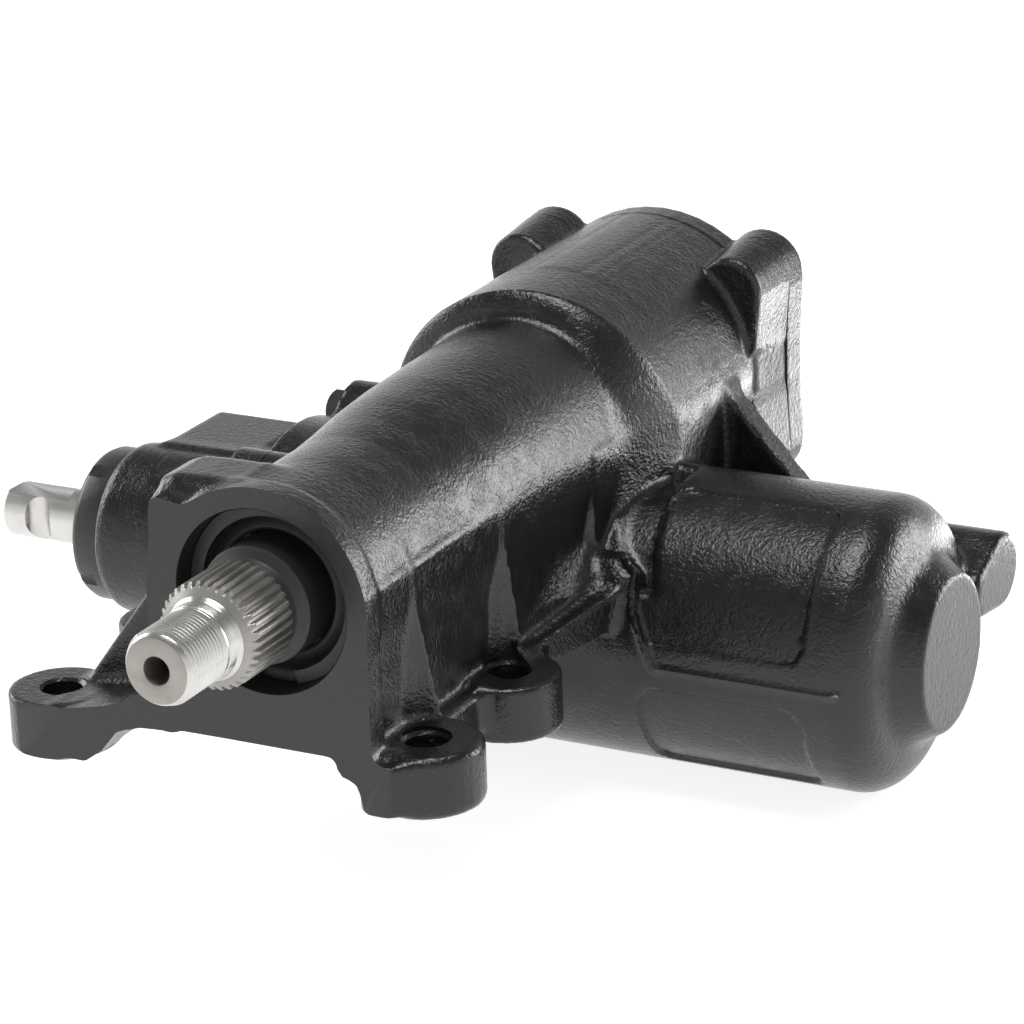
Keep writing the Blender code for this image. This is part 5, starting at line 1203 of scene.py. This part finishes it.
def bolt_set(name, pattern, places, turn):
    """Bolts of one pattern on several places, spread by Geometry Nodes and realised."""
    mesh = bpy.data.meshes.new(name)
    mesh.from_pydata([tuple((np.array(p) + OFFSET) * MM) for p in places], [], [])
    bolts = new_object(name, mesh)
    tree = bpy.data.node_groups.new(name + "_spread", "GeometryNodeTree")
    for way in ("INPUT", "OUTPUT"):
        tree.interface.new_socket("Geometry", in_out=way, socket_type="NodeSocketGeometry")
    net = Shader(tree)
    inlet = net.add("NodeGroupInput")
    info = net.add("GeometryNodeObjectInfo", {"Object": pattern})
    index = net.add("GeometryNodeInputIndex")
    angles = net.add("ShaderNodeCombineXYZ", {"Y": net.maths("MULTIPLY", index.outputs[0], 1.9)})
    onto = net.add("GeometryNodeInstanceOnPoints", {
        "Points": inlet.outputs[0], "Instance": info.outputs["Geometry"], "Rotation": turn})
    spun = net.add("GeometryNodeRotateInstances", {
        "Instances": onto.outputs[0], "Rotation": angles.outputs[0], "Local Space": True})
    real = net.add("GeometryNodeRealizeInstances", {"Geometry": spun.outputs[0]})
    finish = net.add("GeometryNodeSetMaterial", {
        "Geometry": real.outputs[0], "Material": pattern.data.materials[0]})
    net.add("NodeGroupOutput", {"Geometry": finish.outputs[0]})
    bolts.modifiers.new("spread", "NODES").node_group = tree
    settle(bolts)
    bpy.data.objects.remove(pattern)
    return bolts


def bolts(mats):
    """Four bolts of the side cover and four of the valve housing."""
    sets = [("cover", (8.4, 10.0, 4.9, 26.3), (0.0, 0.0, 0.0),
             [(x, COVER_BACK_Y - 0.2, z) for x, z in EARS]),
            ("valve", (6.5, 8.1, 4.0, 20.0), (0.0, 0.0, pi / 2.0),
             [(-87.3, y, z) for y, z in FLANGE_BOLTS])]
    for name, sizes, turn, places in sets:
        pattern = bolt_mesh(name + "_bolt_pattern", *sizes, mats["bolt"])
        spread = bolt_set(name + "_bolts", pattern, places, turn)
        nodes = [name + "_bolt_" + tag for tag in "abcd"]
        fit(spread, "gearbox", *nodes, slot="coated_bolt")


def shaft_seals(mats):
    """Snap ring and dust seal in the mouth of the output shaft's bore."""
    gap = 14.0
    outer = arc(0.0, 0.0, 26.75, gap - 90.0, 270.0 - gap, 89)
    inner = arc(0.0, 0.0, 22.9, 270.0 - gap, gap - 90.0, 89)
    ring = prism_piece("bore_snap_ring", "y", outer + inner, 61.4, 63.0, [mats["spring"]])
    fit(ring, "gearbox", "sector_snap_ring", slot="spring_steel")
    seal = turned_piece("bore_dust_seal", "y", SHAFT, [
        (64.6, 17.75), (63.9, 18.2), (63.6, 18.9), (64.0, 20.1), (65.4, 21.4), (66.0, 22.6),
        (64.6, 23.2), (63.8, 24.0), (63.5, 25.6), (63.6, 26.7), (68.7, 26.8), (68.8, 24.0),
        (68.6, 18.6), (66.4, 17.8)], [mats["rubber"]], 112)
    fit(seal, "gearbox", "sector_dust_seal", slot="seal_rubber")


def valve_end(mats):
    """Lock ring, adjuster plug and dust seal round the input shaft."""
    ring = turned_piece("slotted_lock_ring", "x", WORM, [
        (LOCK_RING_X, 20.9), (LOCK_RING_X, 25.7), (-158.0, 25.7), (-159.8, 24.9),
        (-160.7, 23.4), (-160.7, 21.6), (-160.1, 20.9)], (), 120)
    trim(ring, hole_ring(27.6, 28.0, -162.0, -153.5, 3.4, 32), solver="EXACT")
    ring.data.materials.append(mats["smooth"])
    fit(ring, "gearbox", "plug_lock_ring", slot="black_paint")
    plug = turned_piece("valve_plug", "x", WORM, [
        (-133.0, 13.4), (-133.0, 20.5), (-160.9, 20.5), (-162.0, 19.6), (-162.0, 15.2),
        (-161.2, 14.2), (-151.0, 14.2), (-151.0, 10.4), (-147.5, 10.4), (-147.5, 13.4)], (), 112)
    trim(plug, hole_ring(17.5, 15.0, -163.0, -157.0, 1.7, 28), solver="EXACT")
    plug.data.materials.append(mats["smooth"])
    fit(plug, "gearbox", "adjuster_plug", slot="machined_steel")
    near, far = [corner[0] / MM - OFFSET[0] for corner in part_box("input_dust_seal")]
    seal = turned_piece("input_wiper", "x", WORM, [
        (near, 10.6), (near + 0.5, 9.75), (far, 9.75), (far, 13.9), (near + 0.3, 13.9),
        (near, 13.5), (near + 0.9, 12.6), (near + 0.9, 11.4)], [mats["rubber"]])
    fit(seal, "gearbox", "input_dust_seal", slot="seal_rubber")


def lash_adjuster(mats):
    """Lock nut of the adjusting screw on the side cover."""
    nut_from, nut_to, flats = 322.3, 328.5, 8.5
    nut = prism_piece("lash_lock_nut", "y", hexagon(flats / cos(pi / 6.0)), nut_from, nut_to)
    shell = turned_piece("tool", "y", SHAFT, [
        (nut_from, 0.0), (nut_from, 8.9), (nut_from + 0.9, 9.9), (nut_to - 0.9, 9.9),
        (nut_to, 8.9), (nut_to, 0.0)], (), 64)
    trim(nut, [shell], "INTERSECT", "EXACT")
    trim(nut, [rod_tool("y", SHAFT, 320.0, 330.0, 5.2, 48)], solver="EXACT")
    nut.data.materials.append(mats["zinc"])
    fit(nut, "gearbox", "adjuster_lock_nut", slot="machined_steel")


FINISHES = {
    "bearing": ["sector_bearing_front", "sector_bearing_rear", "input_bearing",
                "worm_bearing_inner", "worm_bearing_outer"],
    "ball": ["ball_%02d" % k for k in range(1, 11)],
    "bronze": ["cover_bushing", "pressure_port_seat", "return_port_seat"],
    "rubber": ["cover_oring", "input_oil_seal", "sector_oil_seal"],
    "ptfe": ["piston_ring", "valve_ring_a", "valve_ring_b", "valve_ring_c"],
    "spring": ["input_snap_ring", "torsion_bar"],
    "zinc": ["clamp_screw_a", "clamp_screw_b", "guide_clamp", "return_guide_a",
             "return_guide_b", "sector_backup_washer"],
    "journal": ["adjuster_screw", "adjuster_retainer", "bearing_retainer", "rack_piston",
                "valve_sleeve", "worm_shaft"],
}


def dress_inner_nodes(mats):
    """Procedural finishes for the CAD pieces that stay as they are."""
    for finish, nodes in FINISHES.items():
        for node in nodes:
            obj = bpy.data.objects[node]
            for slot in obj.material_slots:
                slot.material = mats[finish]


def all_materials():
    steel = (0.60, 0.59, 0.57)
    return {
        "cast": cast_paint(),
        "smooth": smooth_paint(),
        # Light grey on the valve housing's rounded rim by the lock ring: painted highlight, the
        # reflection of a bright lamp on that chamfer.
        "painted_highlight": plain_finish("rim_painted_highlight", (0.22, 0.22, 0.22), 0.5),
        "sawn": plain_finish("faced_steel", (0.36, 0.345, 0.32), 0.42, 1.0, 1500.0, 0.00006),
        # Near-black, non-metallic finish for the shaft's collar: painted shade of the bore it sits
        # in.
        "painted_shade_collar": plain_finish("collar_painted_shade", (0.016, 0.016, 0.016), 0.5),
        # Dark brown-grey for the centre-drilled hole: painted shade of that recess.
        "painted_shade_hole": plain_finish("centre_hole_painted_shade", (0.10, 0.095, 0.085), 0.5, 0.8),
        "bare": plain_finish("bare_cast_iron", (0.055, 0.053, 0.050), 0.5, 0.6),
        "thread": turned_metal("thread_steel", "y", SHAFT, steel, 0.26),
        "spline": turned_metal("spline_steel", "y", SHAFT, (0.36, 0.35, 0.33), 0.48, dull=0.1),
        "journal": turned_metal("ground_steel", "y", SHAFT, steel, 0.24),
        "input": turned_metal("input_steel", "x", WORM, (0.62, 0.61, 0.59), 0.30),
        "milled": plain_finish("milled_steel", (0.60, 0.59, 0.57), 0.30, 1.0, 600.0),
        "bolt": plain_finish("coated_bolt_steel", (0.020, 0.020, 0.021), 0.36),
        "zinc": plain_finish("zinc_plate", (0.52, 0.52, 0.50), 0.38, 1.0),
        "rubber": plain_finish("seal_rubber", (0.012, 0.012, 0.012), 0.55),
        "bronze": plain_finish("bronze", (0.42, 0.27, 0.12), 0.35, 1.0),
        "ptfe": plain_finish("ptfe_ring", (0.10, 0.13, 0.10), 0.45),
        "spring": plain_finish("spring_steel", (0.03, 0.03, 0.032), 0.42, 0.3),
        "ball": plain_finish("bearing_balls", (0.66, 0.65, 0.64), 0.12, 1.0, 900.0, 0.000003),
        "bearing": plain_finish("bearing_steel", (0.56, 0.55, 0.53), 0.26, 1.0),
    }


CAMERA_PLACE = (0.61365, -0.89438, 0.46197)
CAMERA_RIGHT = (0.88829, 0.45825, -0.03065)
CAMERA_UP = (-0.13174, 0.31817, 0.93883)
CAMERA_SENSOR = 36.0
CAMERA_LENS = 140.625
FLOOR_HALF = 12.0
FLOOR_Z = -0.0415
FLOOR_GLOW = 0.84
ROOM_STRENGTH = 1.0
ROOM_TONES = [(0.0, 0.9), (0.60, 1.0), (0.68, 0.8), (0.76, 0.40), (0.88, 0.25)]
SOFT_BOXES = [
    ("right_box", (0.543, 0.505, 0.14), (0.158, -0.415, 0.10), (0.27, 0.30), 2.1),
    ("top_box", (0.10, 0.0, 1.15), (0.05, 0.0, 0.0), (0.60, 0.60), 9.0),
    ("left_box", (-2.0, 0.3, 0.9), (0.0, 0.1, 0.03), (1.2, 1.2), 22.0),
    ("low_card", (0.245, 0.478, -0.036), (0.245, 0.478, 1.0), (0.17, 0.19), 0.74),
]


def studio():
    """Camera at the photograph's angle, pale floor, soft boxes and the room's glow."""
    scene = bpy.context.scene
    scene.view_settings.view_transform = "Standard"
    eye = bpy.data.cameras.new("camera")
    eye.sensor_width = CAMERA_SENSOR
    eye.lens = CAMERA_LENS
    eye.clip_end = 50.0
    camera = new_object("camera", eye)
    right, up = Vector(CAMERA_RIGHT), Vector(CAMERA_UP)
    back = right.cross(up)
    turn = Matrix((right, up, back)).transposed().to_4x4()
    camera.matrix_world = Matrix.Translation(CAMERA_PLACE) @ turn
    scene.camera = camera

    mesh = bpy.data.meshes.new("floor")
    mesh.from_pydata([(x * FLOOR_HALF, y * FLOOR_HALF, FLOOR_Z)
                      for x, y in ((-1, -1), (1, -1), (1, 1), (-1, 1))], [], [(0, 1, 2, 3)])
    floor = new_object("floor", mesh)
    mesh.materials.append(stage_material())

    for name, place, aim, size, power in SOFT_BOXES:
        data = bpy.data.lights.new(name, "AREA")
        data.shape = "RECTANGLE"
        data.size, data.size_y = size
        data.energy = power
        lamp = new_object(name, data)
        lamp.location = place
        lamp.rotation_euler = (Vector(aim) - Vector(place)).to_track_quat("-Z", "Y").to_euler()
        lamp.visible_camera = False
    room_glow()


def room_glow():
    """White to the camera; for reflections, a bright room with a darker ceiling."""
    world = bpy.data.worlds.new("room")
    bpy.context.scene.world = world
    world.use_nodes = True
    sh = Shader(world.node_tree)
    sh.nodes.clear()
    toward = sh.add("ShaderNodeTexCoord").outputs["Generated"]
    parts = sh.add("ShaderNodeSeparateXYZ", {0: toward})
    height = sh.spread(parts.outputs[2], -1.0, 1.0, 0.0, 1.0)
    tone = sh.ramp(height, ROOM_TONES)
    glow = sh.add("ShaderNodeBackground", {"Color": tone, "Strength": ROOM_STRENGTH})
    white = sh.add("ShaderNodeBackground", {"Color": (1.0, 1.0, 1.0, 1.0), "Strength": 1.0})
    seen = sh.add("ShaderNodeLightPath").outputs["Is Camera Ray"]
    mix = sh.add("ShaderNodeMixShader", {0: seen, 1: glow.outputs[0], 2: white.outputs[0]})
    out = sh.add("ShaderNodeOutputWorld")
    sh.tree.links.new(mix.outputs[0], out.inputs["Surface"])


def main():
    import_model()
    mats = all_materials()
    main_housing(mats)
    side_cover(mats)
    valve_housing(mats)
    sector_shaft(mats)
    input_shaft(mats)
    bolts(mats)
    shaft_seals(mats)
    valve_end(mats)
    lash_adjuster(mats)
    dress_inner_nodes(mats)
    studio()


main()
